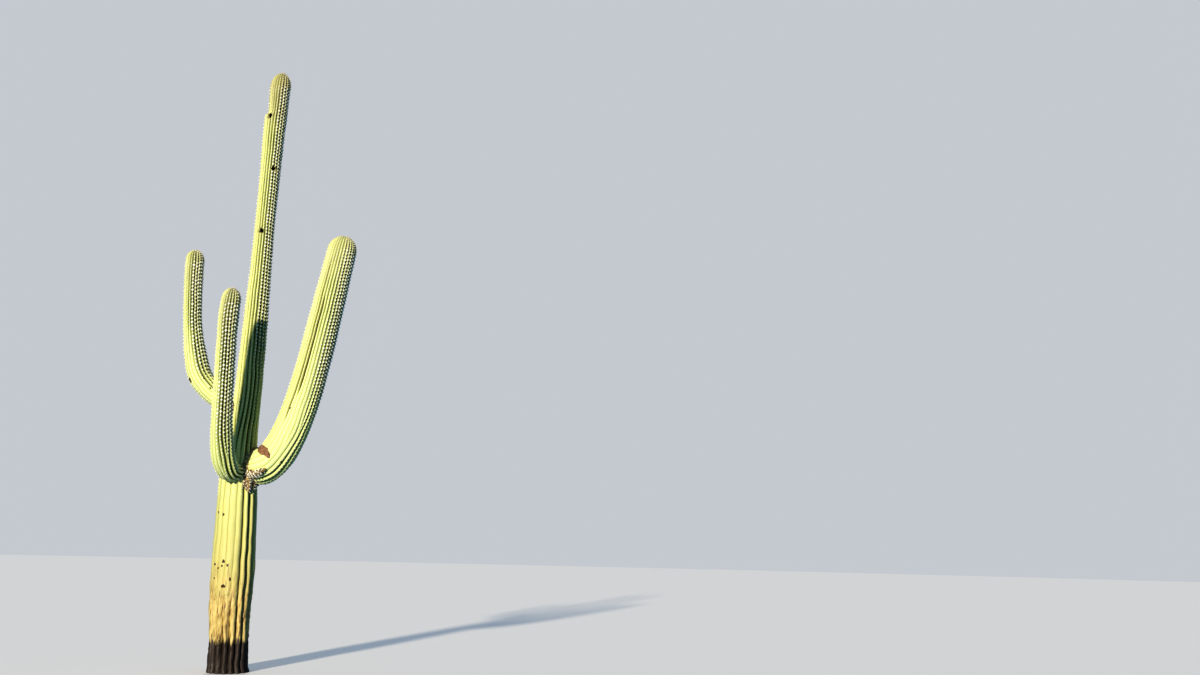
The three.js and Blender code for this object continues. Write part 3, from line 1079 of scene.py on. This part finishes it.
# %% Pockets
HOLE_PIXELS = [(269.5, 115.5), (274.0, 168.5), (261.0, 230.0)]
HIDDEN_HOLES = [(6.62, 78.0), (5.15, 122.0)]
POCKET = [(-30, 38), (-2, 38), (6, 35), (30, 35), (60, 39), (92, 43), (122, 40), (142, 22), (148, 0)]
POCKET_SIDES = 28
CRACK_SIDES = 10
HOLES = [place_of("trunk", *pixel) for pixel in HOLE_PIXELS]
HOLES += [(distance, math.radians(angle)) for distance, angle in HIDDEN_HOLES]


def ring_of(mesh, middle, first, second, sides):
    """Adds to a bmesh a ring of points round a middle, through the ends of two half axes."""
    turns = [2 * math.pi * n / sides for n in range(sides)]
    spokes = [first * math.cos(t) + second * math.sin(t) for t in turns]
    return [mesh.verts.new(middle + spoke * MM) for spoke in spokes]


def close_rings(mesh, rings_of_points):
    """Adds to a bmesh the faces between its rings, and a face across each end that is open."""
    for near, far in zip(rings_of_points, rings_of_points[1:]):
        for n, corner in enumerate(near):
            m = (n + 1) % len(near)
            ends = far if len(far) == 1 else (far[m], far[n])
            mesh.faces.new((corner, near[m], *ends))
    for end in (rings_of_points[0], rings_of_points[-1]):
        if len(end) > 1:
            mesh.faces.new(end)


def turned_solid(mesh, origin, axis, profile, sides):
    """Adds to a bmesh a closed solid turned round an axis, from (distance, radius) in millimetres."""
    across = axis.orthogonal().normalized()
    third = axis.cross(across)
    rows = []
    for along, radius in profile:
        middle = origin + axis * along * MM
        around = ring_of(mesh, middle, across * radius, third * radius, sides if radius else 1)
        rows.append(around)
    close_rings(mesh, rows)


def skin_frame(name, distance, angle):
    """A point on a stem's skin, and the way out of the stem there, as Vectors."""
    skin = sleeve_at(name, np.array([distance]), np.array([angle]))
    return Vector(skin["position"][0]), Vector(skin["outward"][0])


cutters = bmesh.new()
for distance, angle in HOLES:
    mouth, outward = skin_frame("trunk", distance, angle)
    turned_solid(cutters, mouth, -outward, POCKET, POCKET_SIDES)
print(len(HOLES), "holes, the highest at", round(HOLES[0][0], 2), "m")

# %% The crack beside the middle hole
CRACK_PIXELS = [(273.5, 168.5), (276.0, 169.2), (278.5, 170.6), (280.5, 172.0)]
CRACK_ROUND = math.radians(38)
CRACK_FALL = 18 * MM
CRACK_TALL = [10, 10, 12, 20, 16, 8, 2]
CRACK_DEEP = 20


def crack_places():
    """The crack's course: as seen, and then on round the side out of sight."""
    places = [place_of("trunk", *pixel) for pixel in CRACK_PIXELS]
    distance, angle = places[-1]
    for share in (1 / 3, 2 / 3, 1):
        places.append((distance - CRACK_FALL * share, angle + CRACK_ROUND * share))
    return places


crack = bmesh.new()
rows = []
for (distance, angle), tall in zip(crack_places(), CRACK_TALL):
    middle, outward = skin_frame("trunk", distance, angle)
    rows.append(ring_of(crack, middle, Vector((0, 0, tall)), outward * CRACK_DEEP, CRACK_SIDES))
close_rings(crack, rows[::-1])


# %% Cut the holes and the crack
def cut_away(piece, shape, name):
    """Cuts a bmesh's shape out of a piece, and leaves the lining on the cut."""
    bmesh.ops.recalc_face_normals(shape, faces=shape.faces)
    mesh = bpy.data.meshes.new(name)
    shape.to_mesh(mesh)
    shape.free()
    # The cut's lining is near black, partly painted shade.
    mesh.materials.append(lining_and_hole_shade)
    for polygon in mesh.polygons:
        polygon.use_smooth = True
    cutter = placed(name, mesh)
    cut = piece.modifiers.new(name, "BOOLEAN")
    cut.object = cutter
    cut.operation = "DIFFERENCE"
    cut.solver = "MANIFOLD"
    before = len(piece.data.polygons)
    holed = plain_copy(piece.name, piece)
    piece.modifiers.remove(cut)
    piece.data = holed
    bpy.data.objects.remove(cutter)
    print(name, "cut:", before, "faces became", len(holed.polygons))


cut_away(PIECES["trunk_skin"], cutters, "pockets")
cut_away(PIECES["trunk_skin"], crack, "crack")

# %% [markdown]
# ## Crest lines
#
# Areoles and spines grow only along the crests. A crest line is a chain of points down the middle
# of a rib, with the same notes as the sleeve, so that the rib group lifts it to the very same
# crest. Where a rib divides, its line becomes two, and each follows the highest place of its half.
#
# Lines stop where another stem is in the way, and round the holes, where the areoles died.

# %% Lines along the crests
LINE_STEP = 15 * MM
FORKED = 0.25
HOLE_CLEAR = 55 * MM
STEM_CLEAR = 6 * MM
SPINE_ROOM = np.array([30, 12, 50]) * MM
SPINE_REACH = 45 * MM
LEAST_PACE = 0.05
LEAST_ROOM = 0.3
FIRST_HALF = (0.2, 0.5)
CREST_SAMPLES = 91
STEM_SAMPLES = 240
# Each line starts a share of a step after its neighbour, so that areoles never stand in a row.
RIB_SHIFT = 0.618
HALF_SHIFT = 0.5


def crest_share(divided, power):
    """Where the first half's crest lies across a dividing rib."""
    shares = np.linspace(*FIRST_HALF, CREST_SAMPLES)
    whole = np.sin(math.pi * shares) ** power[:, None]
    halves = np.abs(np.sin(2 * math.pi * shares)) ** power[:, None]
    heights = whole * (1 - divided[:, None]) + halves * divided[:, None]
    return shares[np.argmax(heights, axis=1)]


def is_inside(name, points):
    """Which points are inside a stem, or within a few millimetres of its skin."""
    stem = STEMS[name]
    samples = np.linspace(0, stem["length"], STEM_SAMPLES)
    centre, _, radius, _ = rings(stem, samples)
    apart = np.linalg.norm(points[:, None, :] - centre[None, :, :], axis=2)
    nearest = apart.argmin(axis=1)
    return apart.min(axis=1) < radius[nearest] + STEM_CLEAR


def room_for_spines(fields):
    """How far a spine may stand out, from 0 to 1 of its reach, so that none leaves the frame."""
    position, outward = fields["position"], fields["outward"]
    low = np.array(cad_low) - SPINE_ROOM
    high = np.array(cad_high) + SPINE_ROOM
    wall = np.where(outward > 0, high, low)
    pace = np.where(outward > 0, np.maximum(outward, LEAST_PACE), np.minimum(outward, -LEAST_PACE))
    return np.clip(((wall - position) / pace).min(axis=1) / SPINE_REACH, LEAST_ROOM, 1.0)


def crest_lines(base_name, name, low, high, spacing):
    """An object of edge chains along a stem's crests, from one distance to another, in metres."""
    stem = STEMS[name]
    parts, chain = [], []
    for rib in range(stem["ribs"]):
        for half in (0, 1):
            shift = spacing * ((rib * RIB_SHIFT + half * HALF_SHIFT) % 1)
            start, end = low + shift, high - spacing + shift
            distance = np.linspace(start, end, max(2, round((end - start) / LINE_STEP)))
            divided = rib_widths(stem, distance)[:, rib] - 1
            there = divided >= half * FORKED
            distance, divided = distance[there], divided[there]
            if len(distance) < 2:
                continue
            share = crest_share(divided, groove_power(name, distance))
            share = np.where(divided < FORKED, 0.5, 1 - share if half else share)
            parts.append(sleeve(name, distance, np.full(len(distance), rib), share))
            chain += [2 * rib + half] * len(distance)
    fields = joined(*parts)
    fields["room"] = room_for_spines(fields)
    kept = np.ones(len(chain), bool)
    for other in STEMS:
        if other != name:
            kept &= ~is_inside(other, fields["position"])
    if name == "trunk":
        for distance, angle in HOLES:
            mouth, _ = skin_frame("trunk", distance, angle)
            kept &= np.linalg.norm(fields["position"] - np.array(mouth), axis=1) > HOLE_CLEAR
    chain = np.array(chain)
    first = np.flatnonzero(kept[:-1] & kept[1:] & (chain[:-1] == chain[1:]))
    return noted_object(base_name, fields, edges=np.stack([first, first + 1], axis=1).tolist())


# %% [markdown]
# ## Areoles and spines
#
# Both trees start alike: the ribs are raised, the edges become curves, and the curves are cut into
# even steps, one for each areole. An areole is a flattened bead of eight triangles. A spine is a
# three-sided needle of four, because there are a hundred thousand of them.
#
# Every areole has two kinds of spine. The radials lie low all round, like a star, and the centrals
# are longer and stand out between them. Each spine takes its own turn, lean, length and tint from
# a random number with a fixed seed. Both kinds and the pads shrink where the skin is bare, on the
# sunny side and low on each stem, because old spines wear down and fall.
#
# A real spine is a millimetre or two thick and would not show from here. So the spines are drawn
# thicker, and the grown pads wider, until each cluster reads as the pale dot that the eye sees.

# %% Tree: areoles
LEFT_WHEN_BARE = 0.45
CREST_INPUTS = RIB_INPUTS + [
    ("Spacing", "Float", 30 * MM),
    ("Seed", "Int", 1),
    ("Material", "Material", None),
]


def random(tree, low, high, seed, offset):
    """A random number for each small part, from the tree's seed and a number of its own."""
    own = add(tree, "ShaderNodeMath", {0: seed, 1: float(offset)}, operation="ADD")
    return add(tree, "FunctionNodeRandomValue", {2: low, 3: high, 8: own}, output=1)


def left_by_wear(tree):
    """The share of their full size that pads and spines have: less where the skin is barer."""
    bare = add(tree, "GeometryNodeInputNamedAttribute", {0: "bare"})
    wearing = {0: bare, 1: 0.0, 2: 1.0, 3: 1.0, 4: LEFT_WHEN_BARE}
    return add(tree, "ShaderNodeMapRange", wearing)


def areole_points(tree, given):
    """The points of the areoles, evenly spaced along every crest line."""
    curves = add(tree, "GeometryNodeMeshToCurve", {0: use_ribs(tree, given)})
    steps = {"Curve": curves, "Length": given["Spacing"]}
    even = add(tree, "GeometryNodeResampleCurve", steps, mode="LENGTH")
    return add(tree, "GeometryNodeCurveToPoints", {0: even}, mode="EVALUATED")


def place_small_parts(tree, given, points, part, rotation, scale):
    """Puts a turned and scaled copy of a small part at each point, with a tint of its own."""
    tint = random(tree, 0.0, 1.0, given["Seed"], 11)
    noted = {"Geometry": points, "Name": "tint", "Value": tint}
    tinted = add(tree, "GeometryNodeStoreNamedAttribute", noted, data_type="FLOAT", domain="POINT")
    copied = {"Points": tinted, "Instance": part, "Rotation": rotation, "Scale": scale}
    finish_tree(tree, given, add(tree, "GeometryNodeInstanceOnPoints", copied))


def areole_tree():
    tree, given = new_tree("Areoles", CREST_INPUTS + [("Pad", "Float", 13 * MM)])
    points = areole_points(tree, given)
    bead = add(tree, "GeometryNodeMeshUVSphere", {"Segments": 4, "Rings": 2, "Radius": 1.0})
    outward = add(tree, "GeometryNodeInputNamedAttribute", {0: "outward"}, data_type="FLOAT_VECTOR")
    facing = add(tree, "FunctionNodeAlignRotationToVector", {"Vector": outward}, axis="Z")
    size = given["Pad"]
    for factor in (0.5, random(tree, 0.8, 1.2, given["Seed"], 3), left_by_wear(tree)):
        size = add(tree, "ShaderNodeMath", {0: size, 1: factor}, operation="MULTIPLY")
    scale = add(tree, "ShaderNodeVectorMath", {0: (1.0, 1.0, 0.45), "Scale": size}, operation="SCALE")
    place_small_parts(tree, given, points, bead, facing, scale)
    return tree


# %% Tree: spines
GOLDEN_TURN = math.radians(137.5)


def between(tree, turn, first, second):
    """The direction that is turned by this angle from the first direction to the second."""
    shares = []
    for way, wave in ((first, "COSINE"), (second, "SINE")):
        share = add(tree, "ShaderNodeMath", {0: turn}, operation=wave)
        shares.append(add(tree, "ShaderNodeVectorMath", {0: way, "Scale": share}, operation="SCALE"))
    return add(tree, "ShaderNodeVectorMath", {0: shares[0], 1: shares[1]}, operation="ADD")


def spine_tree():
    tree, given = new_tree(
        "Spines",
        CREST_INPUTS
        + [
            ("Count", "Int", 10),
            ("Length", "Float", 22 * MM),
            ("Thickness", "Float", 1.3 * MM),
            ("Least lean", "Float", 1.0),
            ("Most lean", "Float", 1.35),
            ("Droop", "Float", 0.0),
        ],
    )
    seed = given["Seed"]
    points = areole_points(tree, given)
    repeated = {"Geometry": points, "Amount": given["Count"]}
    copies = add(tree, "GeometryNodeDuplicateElements", repeated, domain="POINT")
    number = copies.node.outputs["Duplicate Index"]
    turned = {0: number, 1: GOLDEN_TURN, 2: random(tree, -0.5, 0.5, seed, 1)}
    turn = add(tree, "ShaderNodeMath", turned, operation="MULTIPLY_ADD")
    lean = random(tree, given["Least lean"], given["Most lean"], seed, 2)
    outward, sideways = [
        add(tree, "GeometryNodeInputNamedAttribute", {0: key}, data_type="FLOAT_VECTOR")
        for key in ("outward", "sideways")
    ]
    outward = add(tree, "ShaderNodeVectorMath", {0: outward}, operation="NORMALIZE")
    axes = {0: outward, 1: sideways}
    lengthways = add(tree, "ShaderNodeVectorMath", axes, operation="CROSS_PRODUCT")
    round_about = between(tree, turn, sideways, lengthways)
    direction = between(tree, lean, outward, round_about)
    hanging = {0: (0, 0, -1), "Scale": given["Droop"]}
    down = add(tree, "ShaderNodeVectorMath", hanging, operation="SCALE")
    direction = add(tree, "ShaderNodeVectorMath", {0: direction, 1: down}, operation="ADD")
    rotation = add(tree, "FunctionNodeAlignRotationToVector", {"Vector": direction}, axis="Z")
    length = given["Length"]
    room = add(tree, "GeometryNodeInputNamedAttribute", {0: "room"})
    for factor in (random(tree, 0.6, 1.1, seed, 4), room, left_by_wear(tree)):
        length = add(tree, "ShaderNodeMath", {0: length, 1: factor}, operation="MULTIPLY")
    thickness = given["Thickness"]
    scale = add(tree, "ShaderNodeCombineXYZ", {0: thickness, 1: thickness, 2: length})
    cone = {"Vertices": 3, "Radius Top": 0.0, "Radius Bottom": 1.0, "Depth": 1.0}
    needle = add(tree, "GeometryNodeMeshCone", cone)
    place_small_parts(tree, given, copies, needle, rotation, scale)
    return tree


areoles = areole_tree()
spines = spine_tree()

# %% Grow them on every stem
# Each is (horn of the spines, spacing and width of the pads; and for each kind of spine its count,
# length and radius at the root), in millimetres.
AGES = {
    "old": (old_spine, 36, 13, {"radials": (7, 16, 1.2), "centrals": (2, 26, 1.5)}),
    "grown": (straw_spine, 50, 32, {"radials": (12, 19, 2.8), "centrals": (3, 26, 2.4)}),
    "young": (young_spine, 34, 18, {"radials": (10, 17, 1.6), "centrals": (4, 26, 1.6)}),
}
# Each is (least lean, most lean, droop), the leans in radians from the way out.
LEANS = {"radials": (1.0, 1.4, 0.0), "centrals": (0.1, 0.8, 0.3)}
LOWEST_SPINE = 980
OLD_TO = 2300
YOUNG_FROM_TIP = 20
LAST_ON_DOME = 0.93


def stretches(name):
    """The age of each stretch of a stem, with where it begins and ends, in metres."""
    stem = STEMS[name]
    tip = stem["length"] + LAST_ON_DOME * stem["dome_height"] * MM
    young = stem["length"] - YOUNG_FROM_TIP * MM
    if name == "trunk":
        old, grown = LOWEST_SPINE * MM, OLD_TO * MM
        return [("old", old, grown), ("grown", grown, young), ("young", young, tip)]
    return [("grown", 0.0, young), ("young", young, tip)]


def grow_spines(name, lines, material, sizes, leans, keep_base, **shared):
    """Grows one kind of spine: sizes are their count, length and root radius in millimetres."""
    count, length, thickness = sizes
    shape = {"count": count, "length": length * MM, "thickness": thickness * MM}
    shape |= dict(zip(("least_lean", "most_lean", "droop"), leans))
    grow(name, lines, spines, keep_base, material=material, **shape, **shared)


def prickle(name, age, low, high, seed):
    """Grows the areoles, radial spines and central spines of one stretch."""
    horn, spacing, pad, kinds = AGES[age]
    lines = crest_lines(name + "_crests", name, low, high, spacing * MM)
    shared = {"spacing": spacing * MM, "seed": seed}
    part = name + "_" + age
    grow(part + "_areoles", lines, areoles, keep_base=True, material=felt, pad=pad * MM, **shared)
    for kind, leans in LEANS.items():
        more = kind == "radials"
        grow_spines(part + "_" + kind, lines, horn, kinds[kind], leans, more, **shared)


seed = 20
for name in STEMS:
    for age, low, high in stretches(name):
        prickle(name, age, low, high, seed)
        seed += 1

# %% [markdown]
# ## Scars, calluses and rims
#
# Old wounds leave raised patches that follow the ribs: small dark scars, most of them on the lower
# trunk, a wide corky callus near the thick arm's root, and a low rim round each hole. Where that
# arm grows out, bark and stray areoles have piled up in a burr, a knobbly spiny mound.
#
# A patch is laid out on the sleeve like the skin itself, as rings of points round its middle, each
# ring with its own height off the skin. The rib group then moulds it over ribs and grooves, and a
# noise makes it uneven. Its underside is hidden in the flesh, so that the patch is a closed solid.

# %% Patches on a sleeve
PATCH_SIDES = 40
# Each is (its share of the patch's size, how many waves go round, its shift with the seed).
EDGE_WAVES = [(0.13, 3, 1.0), (0.09, 5, 2.1), (0.06, 8, 3.7)]


def ragged_edge(turns, seed):
    """How far a patch's edge reaches in each direction, about 1."""
    return 1 + sum(part * np.sin(n * turns + shift * seed) for part, n, shift in EDGE_WAVES)


def patch_fields(name, distance, angle, tall_mm, wide_mm, profile, seed):
    """The points of a patch: rings at each (share of its size, height in mm) of the profile."""
    stem = STEMS[name]
    turns = 2 * math.pi * np.arange(PATCH_SIDES) / PATCH_SIDES
    reach = ragged_edge(turns, seed)
    radius = np.interp(distance, stem["distances"], stem["points"][:, 3])
    parts = []
    for share, height in profile:
        size = share * reach if share else np.zeros(1)
        waves = turns if share else np.zeros(1)
        along = distance + tall_mm * MM / 2 * size * np.sin(waves)
        around = angle + wide_mm * MM / 2 / radius * size * np.cos(waves)
        parts.append(sleeve_at(name, along, around, height * MM))
    return joined(*parts)


def patch_faces(profile, first):
    """The faces between a patch's rings, for points that start at this number."""
    faces = []
    counts = [PATCH_SIDES if share else 1 for share, _ in profile]
    starts = first + np.concatenate([[0], np.cumsum(counts)])
    for row in range(len(profile) - 1):
        a, b = int(starts[row]), int(starts[row + 1])
        for n in range(PATCH_SIDES):
            m = (n + 1) % PATCH_SIDES
            if counts[row] == 1:
                faces.append((a, b + n, b + m))
            elif counts[row + 1] == 1:
                faces.append((a + n, b, a + m))
            else:
                faces.append((a + n, b + n, b + m, a + m))
    return faces, int(starts[-1])


# %% Tree: rough tissue
LUMP_INPUTS = [
    ("Lumps", "Float", 4 * MM),
    ("Lump length", "Float", 30 * MM),
    ("Material", "Material", None),
]


def finish_lumpy(tree, given, surface, detail):
    """Ends a tree with its surface pushed in and out in soft lumps."""
    place = add(tree, "GeometryNodeInputPosition")
    fine = add(tree, "ShaderNodeMath", {0: 1.0, 1: given["Lump length"]}, operation="DIVIDE")
    lumps = add(tree, "ShaderNodeTexNoise", {"Vector": place, "Scale": fine, "Detail": detail})
    swing = add(tree, "ShaderNodeMapRange", {0: lumps, 1: 0.3, 2: 0.7, 3: -1.0, 4: 1.0})
    amount = add(tree, "ShaderNodeMath", {0: swing, 1: given["Lumps"]}, operation="MULTIPLY")
    normal = add(tree, "GeometryNodeInputNormal")
    offset = add(tree, "ShaderNodeVectorMath", {0: normal, "Scale": amount}, operation="SCALE")
    lumpy = add(tree, "GeometryNodeSetPosition", {"Geometry": surface, "Offset": offset})
    finish_tree(tree, given, add(tree, "GeometryNodeSetShadeSmooth", {"Geometry": lumpy}))


def tissue_tree():
    tree, given = new_tree("Rough tissue", RIB_INPUTS + LUMP_INPUTS)
    finish_lumpy(tree, given, use_ribs(tree, given), 2)
    return tree


rough_tissue = tissue_tree()

# %% Lay out the patches
SCAR_PROFILE = [(0, 3), (0.35, 4), (0.7, 4), (0.92, 2), (1.0, -4), (0.6, -8), (0, -8)]
CALLUS_PROFILE = [(0, 16), (0.2, 15), (0.4, 13), (0.6, 12), (0.8, 8), (0.92, 3), (1.0, -8)]
CALLUS_PROFILE += [(0.6, -16), (0, -16)]
RIM_PROFILE = [(0.8, -12), (0.83, 1), (0.92, 5), (1.04, 4), (1.14, 0), (1.18, -12), (0.8, -12)]
# Each mark is (stem, its pixel in the picture, its height and width in millimetres).
SCARS = [
    ("trunk", 218, 512.5, 36, 40),
    ("trunk", 223, 514.5, 40, 36),
    ("trunk", 223, 561, 50, 36),
    ("trunk", 215, 564, 34, 34),
    ("trunk", 222, 566, 30, 28),
    ("trunk", 227, 565, 34, 28),
    ("trunk", 218, 568.5, 28, 32),
    ("trunk", 230, 579, 52, 26),
    ("trunk", 223, 586, 44, 66),
    ("trunk", 214, 578, 28, 26),
    ("trunk", 266.5, 235.5, 80, 30),
    ("left_arm", 190, 380, 62, 48),
    ("left_arm", 204, 378, 25, 25),
    ("left_arm", 210, 388, 25, 22),
    ("right_arm", 258.5, 446.5, 90, 100),
    ("right_arm", 281, 462, 28, 36),
    ("right_arm", 290, 408, 42, 25),
]
CALLUSES = [("right_arm", 262, 450, 170, 320)]
BURR_TALL = 58
BURR_STEPS = [n / 12 for n in range(12)]
BURR_PROFILE = [(share, BURR_TALL * math.sqrt(1 - share**2)) for share in BURR_STEPS]
BURR_PROFILE += [(1.0, -12), (0.6, -24), (0, -24)]
BURRS = [("trunk", 250.5, 478, 380, 250), ("right_arm", 252.5, 473, 230, 105)]


def seen_patches(marks):
    """Patches as (stem, distance, angle, height, width), from marks placed by their pixels."""
    return [(name, *place_of(name, x, y), tall, wide) for name, x, y, tall, wide in marks]


def grow_patches(name, patches, profile, tissue, lump_mm, lump_length_mm):
    """Makes one piece of patches that all have the same profile and the same lumpy tissue."""
    parts, faces, first = [], [], 0
    for n, patch in enumerate(patches):
        parts.append(patch_fields(*patch, profile, seed=n + 1))
        more, first = patch_faces(profile, first)
        faces += more
    base = noted_object(name + "_laid", joined(*parts), faces=faces)
    lumps = {"lumps": lump_mm * MM, "lump_length": lump_length_mm * MM}
    grow(name, base, rough_tissue, material=tissue, **lumps)


burrs = seen_patches(BURRS)
grow_patches("scars", seen_patches(SCARS), SCAR_PROFILE, scar_tissue, 3, 16)
grow_patches("calluses", seen_patches(CALLUSES), CALLUS_PROFILE, callus_tissue, 7, 34)
grow_patches("burrs", burrs, BURR_PROFILE, burr_tissue, 11, 42)

# %% Areoles and spines on the burr
BURR_SPACING = 44 * MM
BURR_PAD = 20 * MM
BURR_SPINES = (4, 32, 2)
BURR_LEANS = (0.2, 1.3, 0.2)
BURR_SHARES = [0.12, 0.28, 0.44, 0.6, 0.76, 0.9]
BURR_RINGS = [(share, BURR_TALL * math.sqrt(1 - share**2)) for share in BURR_SHARES]


def burr_lines():
    """Closed chains of points round the burr, one a ring, for its areoles to grow on."""
    parts, chains, first = [], [], 0
    for patch in burrs:
        parts.append(patch_fields(*patch, BURR_RINGS, seed=1))
        for _ in BURR_RINGS:
            chains += [(first + n, first + (n + 1) % PATCH_SIDES) for n in range(PATCH_SIDES)]
            first += PATCH_SIDES
    fields = joined(*parts)
    fields["room"] = room_for_spines(fields)
    fields["bare"] = np.zeros(len(fields["room"]))
    return noted_object("burr_rings", fields, edges=chains)


lines = burr_lines()
shared = {"spacing": BURR_SPACING, "seed": seed}
grow("burr_areoles", lines, areoles, keep_base=True, material=felt, pad=BURR_PAD, **shared)
grow_spines("burr_centrals", lines, straw_spine, BURR_SPINES, BURR_LEANS, False, **shared)

# %% Rims round the holes
RIM_SIZE = (88, 88)
rims = [("trunk", distance, angle, *RIM_SIZE) for distance, angle in HOLES]
grow_patches("hole_rims", rims, RIM_PROFILE, rim_tissue, 2, 20)

# %% [markdown]
# ## Collars
#
# Where an arm leaves the trunk the skin of both is pinched into a corky collar. It lies exactly on
# the loop where the arm's skin meets the trunk's, so the loop is found first: for each direction
# round the arm, how far along it the skin comes out of the trunk. A tube of uneven thickness is
# then swept round the loop.

# %% Loops where arms meet the trunk
LOOP_POINTS = 72
LOOP_REACH = 0.9
LOOP_STEP = 6 * MM
# The loop runs at this share of the grooves' depth, just inside the trunk's own crests.
LOOP_DEPTH = 0.4
TRUNK_SHARE = 0.97
COLLARS = {"right_arm": 44, "front_arm": 15, "left_arm": 16}
COLLAR_LUMPS = 0.45
COLLAR_LUMP_MM = 45
COLLAR_STEPS = 220
COLLAR_SIDES = 16


def meeting_loop(name):
    """The points where an arm's skin comes out of the trunk's, all round the arm."""
    distance = np.arange(0, LOOP_REACH, LOOP_STEP)
    loop = []
    for turn in np.arange(LOOP_POINTS) * 2 * math.pi / LOOP_POINTS:
        skin = sleeve_at(name, distance, np.full(len(distance), turn))
        points = skin["position"] + skin["inward"] * (skin["depth"] * LOOP_DEPTH)[:, None]
        centre, _, radius, _ = rings(STEMS["trunk"], points[:, 2])
        out = np.linalg.norm(points[:, :2] - centre[:, :2], axis=1) > radius * TRUNK_SHARE
        loop.append(points[np.argmax(out)])
    return np.array(loop)


def collar_tree():
    tree, given = new_tree("Collar", [("Radius", "Float", 20 * MM), *LUMP_INPUTS])
    loop = add(tree, "GeometryNodeMeshToCurve", {0: given["Geometry"]})
    steps = {"Curve": loop, "Count": COLLAR_STEPS}
    even = add(tree, "GeometryNodeResampleCurve", steps, mode="COUNT")
    ring = {"Resolution": COLLAR_SIDES, "Radius": given["Radius"]}
    section = add(tree, "GeometryNodeCurvePrimitiveCircle", ring)
    tube = add(tree, "GeometryNodeCurveToMesh", {0: even, 1: section})
    finish_lumpy(tree, given, tube, 3)
    return tree


collar = collar_tree()
for name, radius in COLLARS.items():
    loop_mesh = bpy.data.meshes.new(name + "_loop")
    ring = [(n, (n + 1) % LOOP_POINTS) for n in range(LOOP_POINTS)]
    loop_mesh.from_pydata(meeting_loop(name).tolist(), ring, [])
    loop_object = placed(name + "_loop", loop_mesh)
    size = {"radius": radius * MM, "lumps": radius * COLLAR_LUMPS * MM}
    size["lump_length"] = COLLAR_LUMP_MM * MM
    grow(name + "_collar", loop_object, collar, material=collar_tissue, **size)

# %% [markdown]
# ## Handing over
#
# Every piece rides on the plant's one body. The skins stand for the solids of the construction,
# which stay hidden behind them.

# %% Ride and replace
for name in STEMS:
    nodes = ["trunk"] if name == "trunk" else [name + "_elbow", name + "_upright"]
    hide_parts(*nodes)
for name, piece in PIECES.items():
    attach(piece, "root")
total = sum(len(p.vertices) - 2 for piece in PIECES.values() for p in piece.data.polygons)
print(len(PIECES), "pieces of", total, "triangles")

# %% Sizes
low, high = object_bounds()
print("visual size in metres", [round(v, 3) for v in high - low])
print("proud of the frame by mm", [round(v / MM) for v in [*(cad_low - low), *(high - cad_high)]])
